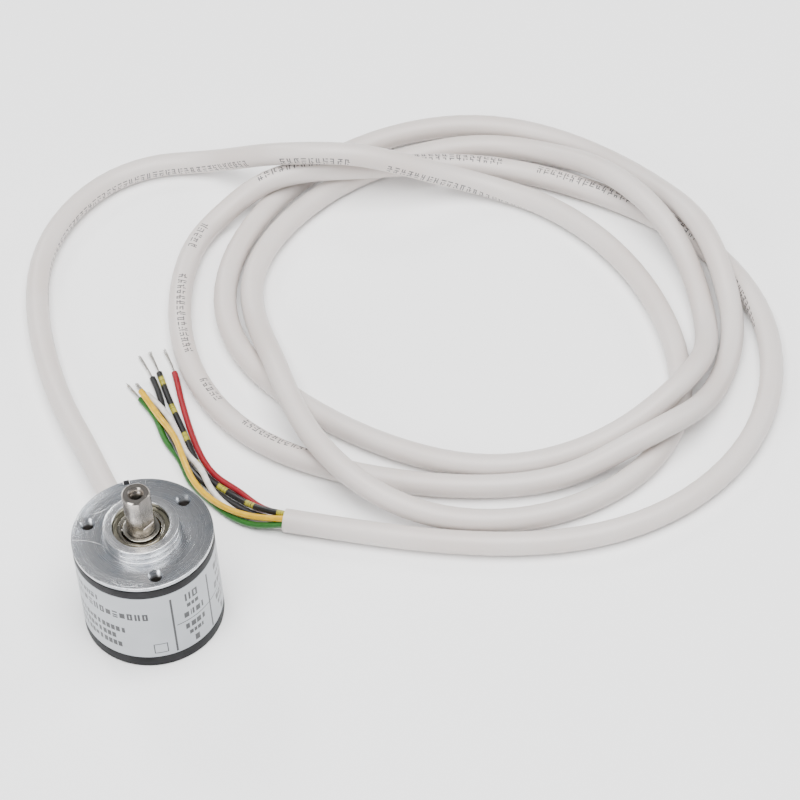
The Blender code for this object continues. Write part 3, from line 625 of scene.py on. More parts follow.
@dataclass(frozen=True)
class ClearGlass:
    """Clear glass, with faint radial lines where it is the code disc."""

    name: str
    lines: int = 0

    def material(self) -> bpy.types.Material:
        """Makes the material.

        Returns:
            The material.
        """
        graph = Graph(self.name)
        x, y, _ = graph.axes()
        haze = graph.noise(0.6, 2.0)
        base = graph.mix(haze.ramp(0.3, 0.8), (0.82, 0.87, 0.87), (0.74, 0.81, 0.82))
        if self.lines:
            turn = graph.math("ARCTAN2", y, x) * (self.lines / (2 * math.pi))
            distance = graph.radius(x, y)
            track = (distance > 8.3) * (distance < 9.9)
            base = graph.mix((turn.wrapped() > 0.5) * track, base, (0.02, 0.02, 0.025))
        graph.surface(base_color=base, roughness=0.08 + haze * 0.06, metallic=0.0)
        graph.surface(alpha=0.55, coat_weight=0.4)
        return graph.material


@dataclass(frozen=True)
class CircuitLaminate:
    """Green solder mask over a grid of tracks."""

    name: str

    def material(self) -> bpy.types.Material:
        """Makes the material.

        Returns:
            The material.
        """
        graph = Graph(self.name)
        x, y, _ = graph.axes()
        bend = graph.noise(0.35, 1.0)
        tracks = ((x * 0.9 + bend * 5.0).wrapped() < 0.34) * ((y * 0.4 + bend * 2.0).wrapped() > 0.2)
        base = graph.mix(tracks, (0.010, 0.10, 0.045), (0.02, 0.20, 0.085))
        graph.surface(base_color=base, roughness=0.32 + tracks * 0.1)
        graph.bump(tracks, 0.03)
        return graph.material


# Modelling ------------------------------------------------------------------------------------------------


def rounded(corners: Sequence[Point], segments: int = 4) -> Outline:
    """Rounds a turned outline's corners.

    Args:
        corners: Each corner's radius, height and rounding, in millimetres.
        segments: Steps in each rounding.

    Returns:
        The outline's points in millimetres. The first and the last corner stay sharp.
    """
    found: Outline = [corners[0][:2]]
    for before, corner, after in zip(corners, corners[1:], corners[2:]):
        place = Vector(corner[:2])
        back, ahead = Vector(before[:2]) - place, Vector(after[:2]) - place
        size = min(corner[2], back.length * 0.49, ahead.length * 0.49)
        if size <= 0:
            found.append(tuple(place))
            continue
        start, end = place + back.normalized() * size, place + ahead.normalized() * size
        for step in range(segments + 1):
            t = step / segments
            found.append(tuple(start * (1 - t) ** 2 + place * 2 * t * (1 - t) + end * t**2))
    found.append(corners[-1][:2])
    return found


def threaded(radius: float, depth: float, pitch: float, top: float, bottom: float) -> Outline:
    """Gives the side of a tapped hole, from its bottom to its top.

    Args:
        radius: The crests' radius.
        depth: How far the roots lie behind the crests.
        pitch: The distance between crests.
        top: The height of the last crest.
        bottom: The height of the first crest.

    Returns:
        The outline's points in millimetres.
    """
    count = int((top - bottom) / pitch)
    found: Outline = []
    for index in range(count):
        height = bottom + index * pitch
        found += [(radius, height), (radius, height + pitch * 0.15)]
        found += [(radius + depth, height + pitch * 0.5), (radius + depth, height + pitch * 0.62)]
    return found + [(radius, bottom + count * pitch)]


class Bench:
    """Modelling with Blender's own operators: turning, drilling, rounding and finishing."""

    @staticmethod
    def clear() -> None:
        """Leaves object mode with nothing selected."""
        if bpy.context.mode != "OBJECT":
            bpy.ops.object.mode_set(mode="OBJECT")
        bpy.ops.object.select_all(action="DESELECT")

    @classmethod
    def pick(cls, obj: bpy.types.Object) -> bpy.types.Object:
        """Selects one object and makes it active.

        Args:
            obj: The object.

        Returns:
            The same object.
        """
        cls.clear()
        obj.select_set(True)
        bpy.context.view_layer.objects.active = obj
        return obj

    @classmethod
    def turn(cls, name: str, outline: Outline, steps: int = 128, ring: bool = True) -> bpy.types.Object:
        """Turns an outline: a circle is extruded and scaled from each point to the next.

        Args:
            name: The piece's name.
            outline: Radii and heights in millimetres.
            steps: Points round the circle.
            ring: Whether the last point joins the first. Otherwise both ends are closed with a face.

        Returns:
            The piece.
        """
        cls.clear()
        radius, height = (value * MM for value in outline[0])
        fill = "NOTHING" if ring else "NGON"
        place = (0, 0, height)
        bpy.ops.mesh.primitive_circle_add(vertices=steps, radius=radius, fill_type=fill, location=place)
        obj = bpy.context.active_object
        obj.name = obj.data.name = name
        bpy.ops.object.transform_apply(location=True, rotation=True, scale=True)
        bpy.ops.object.mode_set(mode="EDIT")
        bpy.ops.mesh.select_all(action="SELECT")
        extrude = bpy.ops.mesh.extrude_edges_move if ring else bpy.ops.mesh.extrude_region_move
        for next_radius, next_height in outline[1:]:
            step = (0, 0, next_height * MM - height)
            extrude(TRANSFORM_OT_translate={"value": step})
            height = next_height * MM
            scale = next_radius * MM / radius
            bpy.ops.transform.resize(value=(scale, scale, 1), center_override=(0, 0, height))
            radius = next_radius * MM
        if ring:
            bpy.ops.mesh.select_all(action="DESELECT")
            bpy.ops.mesh.select_mode(type="EDGE")
            bpy.ops.mesh.select_non_manifold()
            bpy.ops.mesh.bridge_edge_loops()
        cls.mend(obj)
        return obj

    @classmethod
    def mend(cls, obj: bpy.types.Object) -> None:
        """Merges doubles and turns every face outwards.

        Args:
            obj: The piece.
        """
        if bpy.context.mode == "OBJECT":
            cls.pick(obj)
            bpy.ops.object.mode_set(mode="EDIT")
        bpy.ops.mesh.select_mode(type="VERT")
        bpy.ops.mesh.select_all(action="SELECT")
        bpy.ops.mesh.remove_doubles(threshold=1e-6)
        bpy.ops.mesh.normals_make_consistent(inside=False)
        bpy.ops.object.mode_set(mode="OBJECT")

    @classmethod
    def move(cls, obj: bpy.types.Object, place: Point, turn: Point = (0, 0, 0)) -> bpy.types.Object:
        """Turns and moves a piece, and keeps its object at the origin.

        Args:
            obj: The piece.
            place: Where its own origin goes, in millimetres.
            turn: Its rotation about X, Y and Z, in degrees.

        Returns:
            The same piece.
        """
        cls.pick(obj)
        obj.rotation_euler = [math.radians(angle) for angle in turn]
        obj.location = Vector(place) * MM
        bpy.ops.object.transform_apply(location=True, rotation=True, scale=True)
        return obj

    @classmethod
    def block(cls, name: str, low: Point, high: Point, rounding: float = 0.0) -> bpy.types.Object:
        """Makes a block between two corners, with its edges bevelled.

        Args:
            name: The piece's name.
            low: Its lowest corner in millimetres.
            high: Its highest corner in millimetres.
            rounding: The bevel's width in millimetres.

        Returns:
            The piece.
        """
        cls.clear()
        size = Vector(high) - Vector(low)
        middle = (Vector(high) + Vector(low)) / 2 * MM
        bpy.ops.mesh.primitive_cube_add(size=1, location=middle, scale=size * MM)
        obj = bpy.context.active_object
        obj.name = obj.data.name = name
        bpy.ops.object.transform_apply(location=True, rotation=True, scale=True)
        if rounding:
            bpy.ops.object.mode_set(mode="EDIT")
            bpy.ops.mesh.select_all(action="SELECT")
            bpy.ops.mesh.bevel(offset=rounding * MM, segments=3, affect="EDGES")
            bpy.ops.object.mode_set(mode="OBJECT")
        return obj

    @classmethod
    def combine(
        cls, target: bpy.types.Object, tool: bpy.types.Object, operation: str = "DIFFERENCE"
    ) -> None:
        """Cuts a piece with a tool or joins the tool to it, and removes the tool.

        Args:
            target: The piece.
            tool: The other shape.
            operation: DIFFERENCE or UNION.
        """
        cls.pick(target)
        boolean = target.modifiers.new("Cut", "BOOLEAN")
        boolean.operation = operation
        boolean.object = tool
        boolean.solver = "EXACT"
        bpy.ops.object.modifier_apply(modifier=boolean.name)
        bpy.data.objects.remove(tool, do_unlink=True)

    @classmethod
    def smooth(cls, obj: bpy.types.Object, angle: float = 32.0) -> None:
        """Shades a piece smooth except over its real edges.

        Args:
            obj: The piece.
            angle: The sharpest bend that still counts as smooth, in degrees.
        """
        cls.pick(obj)
        bpy.ops.object.shade_smooth_by_angle(angle=math.radians(angle))

    @classmethod
    def tube(cls, name: str, lines: list[np.ndarray], radius: float, sides: int) -> bpy.types.Object:
        """Sweeps a round section along one line or several, as one mesh.

        Args:
            name: The piece's name.
            lines: Each line's points, in millimetres.
            radius: The section's radius in millimetres.
            sides: Points round the section, an even number from 4.

        Returns:
            The piece.
        """
        curve = bpy.data.curves.new(name, "CURVE")
        curve.dimensions = "3D"
        curve.bevel_depth = radius * MM
        curve.bevel_resolution = (sides - 4) // 2
        curve.use_fill_caps = True
        for line in lines:
            spline = curve.splines.new("POLY")
            spline.points.add(len(line) - 1)
            spline.points.foreach_set("co", np.c_[line * MM, np.ones(len(line))].ravel())
        obj = bpy.data.objects.new(name, curve)
        bpy.context.scene.collection.objects.link(obj)
        cls.pick(obj)
        bpy.ops.object.convert(target="MESH")
        obj = bpy.context.active_object
        cls.mend(obj)
        return obj


def carry(
    obj: bpy.types.Object, body: Body, finish: object, nodes: Sequence[str] = ()
) -> bpy.types.Object:
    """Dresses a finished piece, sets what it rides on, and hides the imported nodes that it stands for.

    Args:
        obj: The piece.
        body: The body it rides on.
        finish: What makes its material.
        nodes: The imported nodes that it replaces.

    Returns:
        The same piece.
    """
    obj.data.materials.clear()
    obj.data.materials.append(finish.material())
    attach(obj, body.value)
    if nodes:
        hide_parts(*nodes)
    LOG.info("%s: %d faces on %s", obj.name, len(obj.data.polygons), body.value)
    return obj


# Routes ---------------------------------------------------------------------------------------------------


class Route:
    """A smooth line through given points, with the distance along it."""

    def __init__(self, points: Sequence[Point], steps: int, lowest: float = 0.0) -> None:
        """Fits a natural cubic spline.

        Args:
            points: The points in millimetres.
            steps: Points read from each stretch between them.
            lowest: The height that the line stays above.
        """
        knots = np.array(points, float)
        count = len(knots)
        system = np.eye(count)
        bends = np.zeros_like(knots)
        for i in range(1, count - 1):
            system[i, i - 1 : i + 2] = (1, 4, 1)
            bends[i] = 6 * (knots[i - 1] - 2 * knots[i] + knots[i + 1])
        curvature = np.linalg.solve(system, bends)
        places = np.arange((count - 1) * steps + 1) / steps
        index = np.minimum(places.astype(int), count - 2)
        x = (places - index)[:, None]
        y = 1 - x
        low, high = knots[index], knots[index + 1]
        bent = ((y**3 - y) * curvature[index] + (x**3 - x) * curvature[index + 1]) / 6
        self.points = y * low + x * high + bent
        self.points[:, 2] = np.maximum(self.points[:, 2], lowest)
        self.knot = places
        gaps = np.linalg.norm(np.diff(self.points, axis=0), axis=1)
        self.along = np.concatenate([[0.0], np.cumsum(gaps)])

    @property
    def length(self) -> float:
        """The whole length in millimetres."""
        return float(self.along[-1])

    def tangents(self) -> np.ndarray:
        """Gives the direction at each point."""
        change = np.gradient(self.points, self.along, axis=0)
        return change / np.linalg.norm(change, axis=1)[:, None]

    def between(self, start: float, end: float, gap: float) -> np.ndarray:
        """Reads an even stretch.

        Args:
            start: Where it starts, in millimetres along the line. Below 0 it runs straight back.
            end: Where it ends.
            gap: The distance between points.

        Returns:
            The points in millimetres.
        """
        wanted = np.linspace(start, end, max(2, int((end - start) / gap) + 1))
        found = np.array([np.interp(wanted, self.along, self.points[:, axis]) for axis in range(3)]).T
        ahead = self.tangents()[0]
        before = wanted < 0
        found[before] = self.points[0] + wanted[before, None] * ahead
        return found


def paint(obj: bpy.types.Object, values: dict[str, np.ndarray], domain: str = "POINT") -> None:
    """Stores numbers on a mesh for its material to read.

    Args:
        obj: The piece.
        values: An array of numbers for each attribute's name.
        domain: POINT or FACE.
    """
    for name, numbers in values.items():
        attribute = obj.data.attributes.new(name, "FLOAT", domain)
        attribute.data.foreach_set("value", np.asarray(numbers, np.float32))


def corners_of(obj: bpy.types.Object) -> np.ndarray:
    """Reads a mesh's vertices.

    Args:
        obj: The piece.

    Returns:
        Their places in millimetres.
    """
    flat = np.empty(len(obj.data.vertices) * 3, np.float32)
    obj.data.vertices.foreach_get("co", flat)
    return flat.reshape(-1, 3).astype(float) / MM


# Sub-assemblies -------------------------------------------------------------------------------------------


@dataclass
class Flange:
    """The turned aluminium flange with its boss, three tapped holes and notch for the cap's key."""

    radius: float = 15.0
    face: float = 26.0
    rim: float = 0.8
    boss: float = 8.0
    boss_top: float = 29.0
    seat: float = 6.1
    circle: float = 12.0
    holes: tuple[float, ...] = (-90.0, 30.0, 150.0)
    hole_depth: float = 4.0
    notch: float = 1.44
    # The part inside the cap: its radius and lowest height, then the sealing groove in it.
    spigot: float = 13.7
    spigot_low: float = 19.6
    groove: float = 12.9
    groove_low: float = 20.2
    groove_high: float = 21.3
    # The tube round the rear bearing, and the land between the bearings.
    tube: float = 7.2
    tube_low: float = 16.2
    land: float = 5.1
    land_low: float = 21.7
    land_high: float = 23.7

    def build(self) -> None:
        """Turns the body, taps the holes and cuts the notch."""
        flange = Bench.turn("flange_body", self._outline(), 160)
        for angle in self.holes:
            tool = Bench.turn("tap", self._tap(), 40, ring=False)
            turn = math.radians(angle)
            Bench.move(tool, (self.circle * math.cos(turn), self.circle * math.sin(turn), 0))
            Bench.combine(flange, tool)
        half = self.notch / 2
        low, high = (-half, self.radius - 0.9, self.face - 2), (half, self.radius + 1, self.face + 1)
        notch = Bench.block("notch", low, high)
        Bench.combine(flange, notch)
        Bench.smooth(flange)
        carry(flange, Body.HOUSING, self.finish(), ["flange"])

    def _outline(self) -> Outline:
        """Gives the turned outline, boss first and round to the front bearing's seat."""
        corners = [
            (self.seat, self.boss_top - 0.6, 0),
            (self.seat, self.boss_top - 0.14, 0.0),
            (self.seat + 0.14, self.boss_top, 0.03),
            (self.boss, self.boss_top, 0.16),
            (self.boss, self.face + 1.25, 0.03),
            (self.boss - 0.07, self.face + 1.2, 0.02),
            (self.boss - 0.07, self.face + 1.1, 0.02),
            (self.boss, self.face + 1.05, 0.03),
            (self.boss, self.face - 0.2, 0.05),
            (self.boss + 0.2, self.face - 0.2, 0.05),
            (self.boss + 0.4, self.face, 0.08),
            (self.radius, self.face, 0.2),
            (self.radius, self.face - self.rim, 0.1),
            (self.spigot, self.face - self.rim, 0.05),
            (self.spigot, self.groove_high, 0.05),
            (self.groove, self.groove_high, 0.05),
            (self.groove, self.groove_low, 0.05),
            (self.spigot, self.groove_low, 0.05),
            (self.spigot, self.spigot_low, 0.1),
            (self.tube, self.spigot_low, 0.1),
            (self.tube, self.tube_low, 0.1),
            (self.seat, self.tube_low, 0.1),
            (self.seat, self.land_low, 0.05),
            (self.land, self.land_low, 0.05),
            (self.land, self.land_high, 0.05),
            (self.seat, self.land_high, 0.05),
            (self.seat, self.boss_top - 0.6, 0),
        ]
        return rounded(corners)[:-1]

    def _tap(self) -> Outline:
        """Gives the tapped hole's outline, from its bottom to above the face."""
        crest, root, mouth = 1.27, 0.17, 1.65
        bottom = self.face - self.hole_depth
        side = threaded(crest, root, 0.5, self.face - 0.35, bottom + 0.1)
        chamfer = [(1.45, self.face - 0.2), (mouth, self.face), (mouth, self.face + 3.2)]
        return [(crest, bottom), *side, *chamfer]

    def finish(self) -> TurnedMetal:
        """Gives the flange's finish with its scratches, its worn rim and painted shade in its holes."""
        scratches = (
            Scratch((-14.0, 2.6), (-11.6, 1.7), (-8.4, -0.9)),
            Scratch((-7.3, -5.4), (-5.0, -7.5), (-2.6, -10.5)),
            Scratch((-8.5, 8.4), (-7.1, 8.4), (-5.9, 8.9)),
            Scratch((-9.2, -10.2), (-7.0, -12.5), (-4.4, -13.3)),
        )
        # Painted shade inside the three tapped holes.
        hole_shades = tuple(
            HoleShade((self.circle * math.cos(turn), self.circle * math.sin(turn)), 1.62, self.face - 0.1)
            for turn in map(math.radians, self.holes)
        )
        return TurnedMetal(
            "turned_aluminium_face", bright=8.1, scratches=scratches, hole_shades=hole_shades, wear=(-140.0, 50.0, 12.2)
        )


@dataclass
class Cap:
    """The dark cap with its key and cable hole, and the printed label in its recess."""

    radius: float = 15.0
    bore: float = 14.0
    top: float = 24.9
    floor: float = 1.2
    label_low: float = 3.0
    label_high: float = 22.6
    label_depth: float = 0.15
    key: float = 1.2
    key_top: float = 26.4
    hole: float = 3.7
    hole_height: float = 5.5

    def build(self) -> None:
        """Turns the cap, joins its key, drills its cable hole and wraps the label round it."""
        cap = Bench.turn("cap_shell", self._outline(), 160, ring=False)
        half = self.key / 2
        low, high = (-half, self.radius - 0.75, self.top - 0.9), (half, self.radius - 0.15, self.key_top)
        key = Bench.block("key", low, high, 0.08)
        Bench.combine(cap, key, "UNION")
        hole = Bench.turn("hole", [(self.hole, 7.0), (self.hole, 30.0)], 48, ring=False)
        Bench.move(hole, (0, 0, self.hole_height), (-90, 0, 0))
        Bench.combine(cap, hole)
        Bench.smooth(cap)
        finish = MouldedPlastic("cap_plastic", (0.009, 0.009, 0.010), 0.5, 0.006, gleam=0.12)
        carry(cap, Body.HOUSING, finish, ["housing_cap"])
        Label(self.radius, self.label_low, self.label_high, self.label_depth).build()

    def _outline(self) -> Outline:
        """Gives the shell's outline, from the floor's underside round the rim to the floor inside."""
        recess = self.radius - 2 * self.label_depth
        corners = [
            (self.radius - 1.0, 0, 0),
            (self.radius, 0, 0.3),
            (self.radius, self.label_low - 0.15, 0.05),
            (recess, self.label_low - 0.15, 0.03),
            (recess, self.label_high + 0.15, 0.03),
            (self.radius, self.label_high + 0.15, 0.05),
            (self.radius, self.top, 0.15),
            (self.bore, self.top, 0.1),
            (self.bore, self.floor, 0.3),
            (self.bore - 1.0, self.floor, 0),
        ]
        return rounded(corners)


@dataclass(frozen=True)
class Mark:
    """A printed line of plain signs, from one azimuth to another, in degrees and millimetres."""

    start: float
    end: float
    low: float
    high: float
    signs: bool = True


@dataclass
class Label:
    """The printed film. Its signs stand in for lettering, and none is a letter."""

    radius: float
    low: float
    high: float
    depth: float
    steps: int = 400
    gap: float = 63.0
    rows: int = 84

    def build(self) -> None:
        """Extrudes an arc upwards cell by cell, prints the cells and gives the film its thickness."""
        Bench.clear()
        place = (0, 0, self.low * MM)
        bpy.ops.mesh.primitive_circle_add(vertices=self.steps, radius=self.radius * MM, location=place)
        label = bpy.context.active_object
        label.name = label.data.name = "label_film"
        bpy.ops.object.transform_apply(location=True, rotation=True, scale=True)
        bpy.ops.object.mode_set(mode="EDIT")
        bpy.ops.mesh.select_all(action="DESELECT")
        bpy.ops.object.mode_set(mode="OBJECT")
        for vertex in label.data.vertices:
            azimuth = math.degrees(math.atan2(vertex.co.y, vertex.co.x))
            vertex.select = abs(azimuth - 90) < self.gap / 2
        bpy.ops.object.mode_set(mode="EDIT")
        bpy.ops.mesh.delete(type="VERT")
        bpy.ops.mesh.select_all(action="SELECT")
        rise = (self.high - self.low) / self.rows * MM
        for _ in range(self.rows):
            bpy.ops.mesh.extrude_edges_move(TRANSFORM_OT_translate={"value": (0, 0, rise)})
        Bench.mend(label)
        face = label.data.polygons[0]
        if face.normal.x * face.center.x + face.normal.y * face.center.y < 0:
            bpy.ops.object.mode_set(mode="EDIT")
            bpy.ops.mesh.select_all(action="SELECT")
            bpy.ops.mesh.flip_normals()
            bpy.ops.object.mode_set(mode="OBJECT")
        paint(label, {"ink": self._ink(label)}, "FACE")
        film = label.modifiers.new("Film", "SOLIDIFY")
        film.thickness = self.depth * MM
        film.offset = -1.0
        bpy.ops.object.modifier_apply(modifier=film.name)
        Bench.smooth(label, 40)
        carry(label, Body.HOUSING, PrintedFilm("label_print"), ["label_wrap"])

    def _ink(self, label: bpy.types.Object) -> np.ndarray:
        """Prints the cells.

        Args:
            label: The sheet of cells.

        Returns:
            1 for each face with ink and 0 for the others.
        """
        flat = np.empty(len(label.data.polygons) * 3, np.float32)
        label.data.polygons.foreach_get("center", flat)
        centres = flat.reshape(-1, 3).astype(float) / MM
        azimuth = np.degrees(np.arctan2(centres[:, 1], centres[:, 0]))
        azimuth = np.where(azimuth > 90, azimuth - 360, azimuth)
        height = centres[:, 2]
        ink = np.zeros(len(centres))
        dice = random.Random(7)
        for mark in self._layout():
            inside = (azimuth > mark.start) & (azimuth < mark.end)
            inside &= (height > mark.low) & (height < mark.high)
            if not mark.signs:
                ink[inside] = 1
                continue
            across = np.radians(azimuth - mark.start) * self.radius
            up = (height - mark.low) / (mark.high - mark.low)
            size = mark.high - mark.low
            pitch, width = size * 0.82, size * 0.6
            for index in range(int(np.radians(mark.end - mark.start) * self.radius / pitch) + 1):
                x = (across - index * pitch) / width
                sign = self._sign(dice.choice(list(Stroke)), x, up, 0.5 / size)
                ink[inside & (x > 0) & (x < 1) & sign] = 1
        return ink

    @staticmethod
    def _sign(kind: Stroke, x: np.ndarray, up: np.ndarray, line: float) -> np.ndarray:
        """Draws one sign.

        Args:
            kind: Which sign.
            x: The place across it, from 0 to 1.
            up: The place up it, from 0 to 1.
            line: The stroke's width over the sign's height.

        Returns:
            Whether each cell is inside a stroke.
        """
        edge_x = np.minimum(x, 1 - x) < line * 1.5
        edge_y = np.minimum(up, 1 - up) < line
        if kind is Stroke.FRAME:
            return edge_x | edge_y
        if kind is Stroke.COLUMNS:
            return edge_x
        if kind is Stroke.STEPS:
            return edge_y | (np.abs(up - 0.5) < line / 2)
        return np.abs(up - 0.5) < 0.42

    @staticmethod
    def _layout() -> Iterator[Mark]:
        """Lays out the rules and lines of signs, as azimuths seen from the shaft's end."""
        for azimuth in (-83.0, -45.3, -7.6, 30.1):
            yield Mark(azimuth - 0.8, azimuth + 0.8, 3.5, 20.7, signs=False)
        yield Mark(-80.0, 56.0, 11.55, 11.85, signs=False)
        for left in (-73.0, -35.0, 3.0, 38.0):
            yield Mark(left + 3, left + 17, 18.0, 20.3)
            yield Mark(left + 4, left + 15, 15.8, 17.1)
            yield Mark(left, left + 20, 12.7, 14.6)
            yield Mark(left, left + 20, 9.0, 10.8)
            yield Mark(left + 3, left + 17, 6.9, 8.2)
            yield Mark(left + 7, left + 12, 3.8, 5.9)
        yield Mark(-178.0, -146.0, 18.6, 20.2)
        yield Mark(-176.0, -102.5, 15.4, 17.4)
        yield Mark(-178.0, -122.0, 10.8, 12.3)
        yield Mark(-178.0, -132.0, 8.2, 9.7)
        yield Mark(-178.0, -126.0, 5.6, 7.1)
        yield Mark(-102.0, -90.0, 4.2, 4.5, signs=False)
        yield Mark(-102.0, -90.0, 6.9, 7.2, signs=False)
        yield Mark(-102.0, -100.9, 4.2, 7.2, signs=False)
        yield Mark(-91.1, -90.0, 4.2, 7.2, signs=False)
        for low in (17.5, 14.6, 11.7, 8.8, 5.9):
            yield Mark(-236.0, -190.0, low, low + 1.4)


@dataclass
class ShaftEnd:
    """The ground shaft with its flat and its tapped end hole."""

    radius: float = 3.0
    bottom: float = 12.6
    top: float = 39.0
    chamfer: float = 0.3
    flat: float = 2.5
    flat_length: float = 8.5
    flat_angle: float = -59.0

    def build(self) -> None:
        """Turns the shaft, mills the flat and taps the hole."""
        corners = [
            (self.radius - 0.3, self.bottom, 0),
            (self.radius, self.bottom + 0.3, 0.05),
            (self.radius, 15.5, 0.03),
            (2.5, 15.5, 0.03),
            (2.5, 16.3, 0.03),
            (self.radius, 16.3, 0.03),
            (self.radius, self.top - self.chamfer, 0.06),
            (self.radius - self.chamfer, self.top, 0),
        ]
        shaft = Bench.turn("shaft_rod", rounded(corners), 128, ring=False)
        low, high = (self.flat, -4, self.top - self.flat_length), (9, 4, self.top + 4)
        cutter = Bench.block("mill", low, high, 0.12)
        Bench.move(cutter, (0, 0, 0), (0, 0, self.flat_angle))
        Bench.combine(shaft, cutter)
        side = threaded(1.2, 0.14, 0.45, self.top - 0.7, self.top - 4.8)
        tap = [(1.2, self.top - 5.0), *side, (1.34, self.top - 0.42), (1.7, self.top), (1.7, self.top + 2.0)]
        Bench.combine(shaft, Bench.turn("tap", tap, 40, ring=False))
        Bench.smooth(shaft, 28)
        finish = TurnedMetal(
            "ground_steel", (0.50, 0.465, 0.425), (0.34, 0.31, 0.28), 0.22, groove=0.008, pitch=7.0,
            # Painted shade inside the tapped end hole.
            hole_shades=(HoleShade((0.0, 0.0), 1.69, self.top - 0.05),),
        )
        carry(shaft, Body.ROTOR, finish, ["shaft"])


@dataclass
class FrontBearing:
    """What shows of the front bearing in the boss's recess: both rings and the shield between them."""

    bottom: float = 24.0
    top: float = 28.0
    outside: float = 6.0
    land: float = 5.1
    inner: float = 3.9
    bore: float = 3.1

    def build(self) -> None:
        """Turns the three pieces."""
        middle = (self.bottom + self.top) / 2
        steel = {"stain": (0.22, 0.205, 0.17), "roughness": 0.24, "groove": 0.004, "pitch": 8.0}
        outer = [
            (self.land, self.top, 0.0),
            (self.outside, self.top, 0.22),
            (self.outside, self.bottom, 0.22),
            (self.land, self.bottom, 0.1),
            (self.land, middle - 0.66, 0.02),
            (self.land + 0.29, middle, 0.5),
            (self.land, middle + 0.66, 0.02),
            (self.land, self.top, 0.0),
        ]
        node = "front_bearing_outer_ring"
        self._ring("bearing_outer", outer, Body.HOUSING, node, (0.42, 0.39, 0.29), steel)
        inner = [
            (self.bore, self.top, 0.0),
            (self.inner, self.top, 0.12),
            (self.inner, middle + 0.66, 0.02),
            (self.inner - 0.29, middle, 0.5),
            (self.inner, middle - 0.66, 0.02),
            (self.inner, self.bottom, 0.12),
            (self.bore, self.bottom, 0.12),
            (self.bore, self.top, 0.0),
        ]
        node = "front_bearing_inner_ring"
        self._ring("bearing_inner", inner, Body.ROTOR, node, (0.50, 0.48, 0.43), steel)
        face = self.top - 0.3
        shield = [
            (4.2, face - 0.25, 0.0),
            (4.2, face - 0.1, 0.03),
            (4.32, face, 0.06),
            (4.72, face, 0.05),
            (4.8, face + 0.16, 0.05),
            (4.94, face + 0.2, 0.05),
            (5.03, face + 0.1, 0.03),
            (5.03, face - 0.25, 0.03),
            (4.2, face - 0.25, 0.0),
        ]
        self._ring("bearing_shield", shield, Body.HOUSING, "front_bearing_shield", (0.38, 0.36, 0.31), steel)

    @staticmethod
    def _ring(name: str, corners: list[Point], body: Body, node: str, colour: Colour, steel: dict) -> None:
        """Turns one ring and dresses it.

        Args:
            name: The piece's name.
            corners: Its outline with the roundings.
            body: What it rides on.
            node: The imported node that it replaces.
            colour: Its steel's colour.
            steel: The rest of its finish.
        """
        ring = Bench.turn(name, rounded(corners)[:-1], 112)
        Bench.smooth(ring, 30)
        carry(ring, body, TurnedMetal(f"{name}_steel", colour, **steel), [node])


@dataclass
class Grommet:
    """The rubber grommet at the cable's way out, with ribs on its nose."""

    height: float = 5.5
    bore: float = 2.85

    def build(self) -> bpy.types.Object:
        """Turns the grommet and lays it along the cable.

        Returns:
            The grommet.
        """
        corners = [
            (self.bore, 12.1, 0.0),
            (4.0, 12.1, 0.15),
            (4.0, 13.1, 0.15),
            (3.4, 13.1, 0.05),
            (3.4, 15.3, 0.05),
            (4.0, 15.3, 0.2),
            (4.0, 16.3, 0.25),
            (3.65, 16.45, 0.1),
            (3.6, 16.9, 0.1),
            (3.4, 16.95, 0.05),
            (3.4, 17.2, 0.05),
            (3.45, 17.25, 0.1),
            (3.35, 17.7, 0.1),
            (3.2, 17.75, 0.05),
            (3.15, 18.5, 0.15),
            (self.bore, 18.5, 0.08),
            (self.bore, 12.1, 0.0),
        ]
        grommet = Bench.turn("grommet", rounded(corners)[:-1], 72)
        Bench.move(grommet, (0, 0, self.height), (-90, 0, 0))
        Bench.smooth(grommet, 40)
        finish = MouldedPlastic("grommet_rubber", (0.018, 0.018, 0.019), 0.6, 0.012)
        return carry(grommet, Body.HOUSING, finish, ["cable_grommet"])


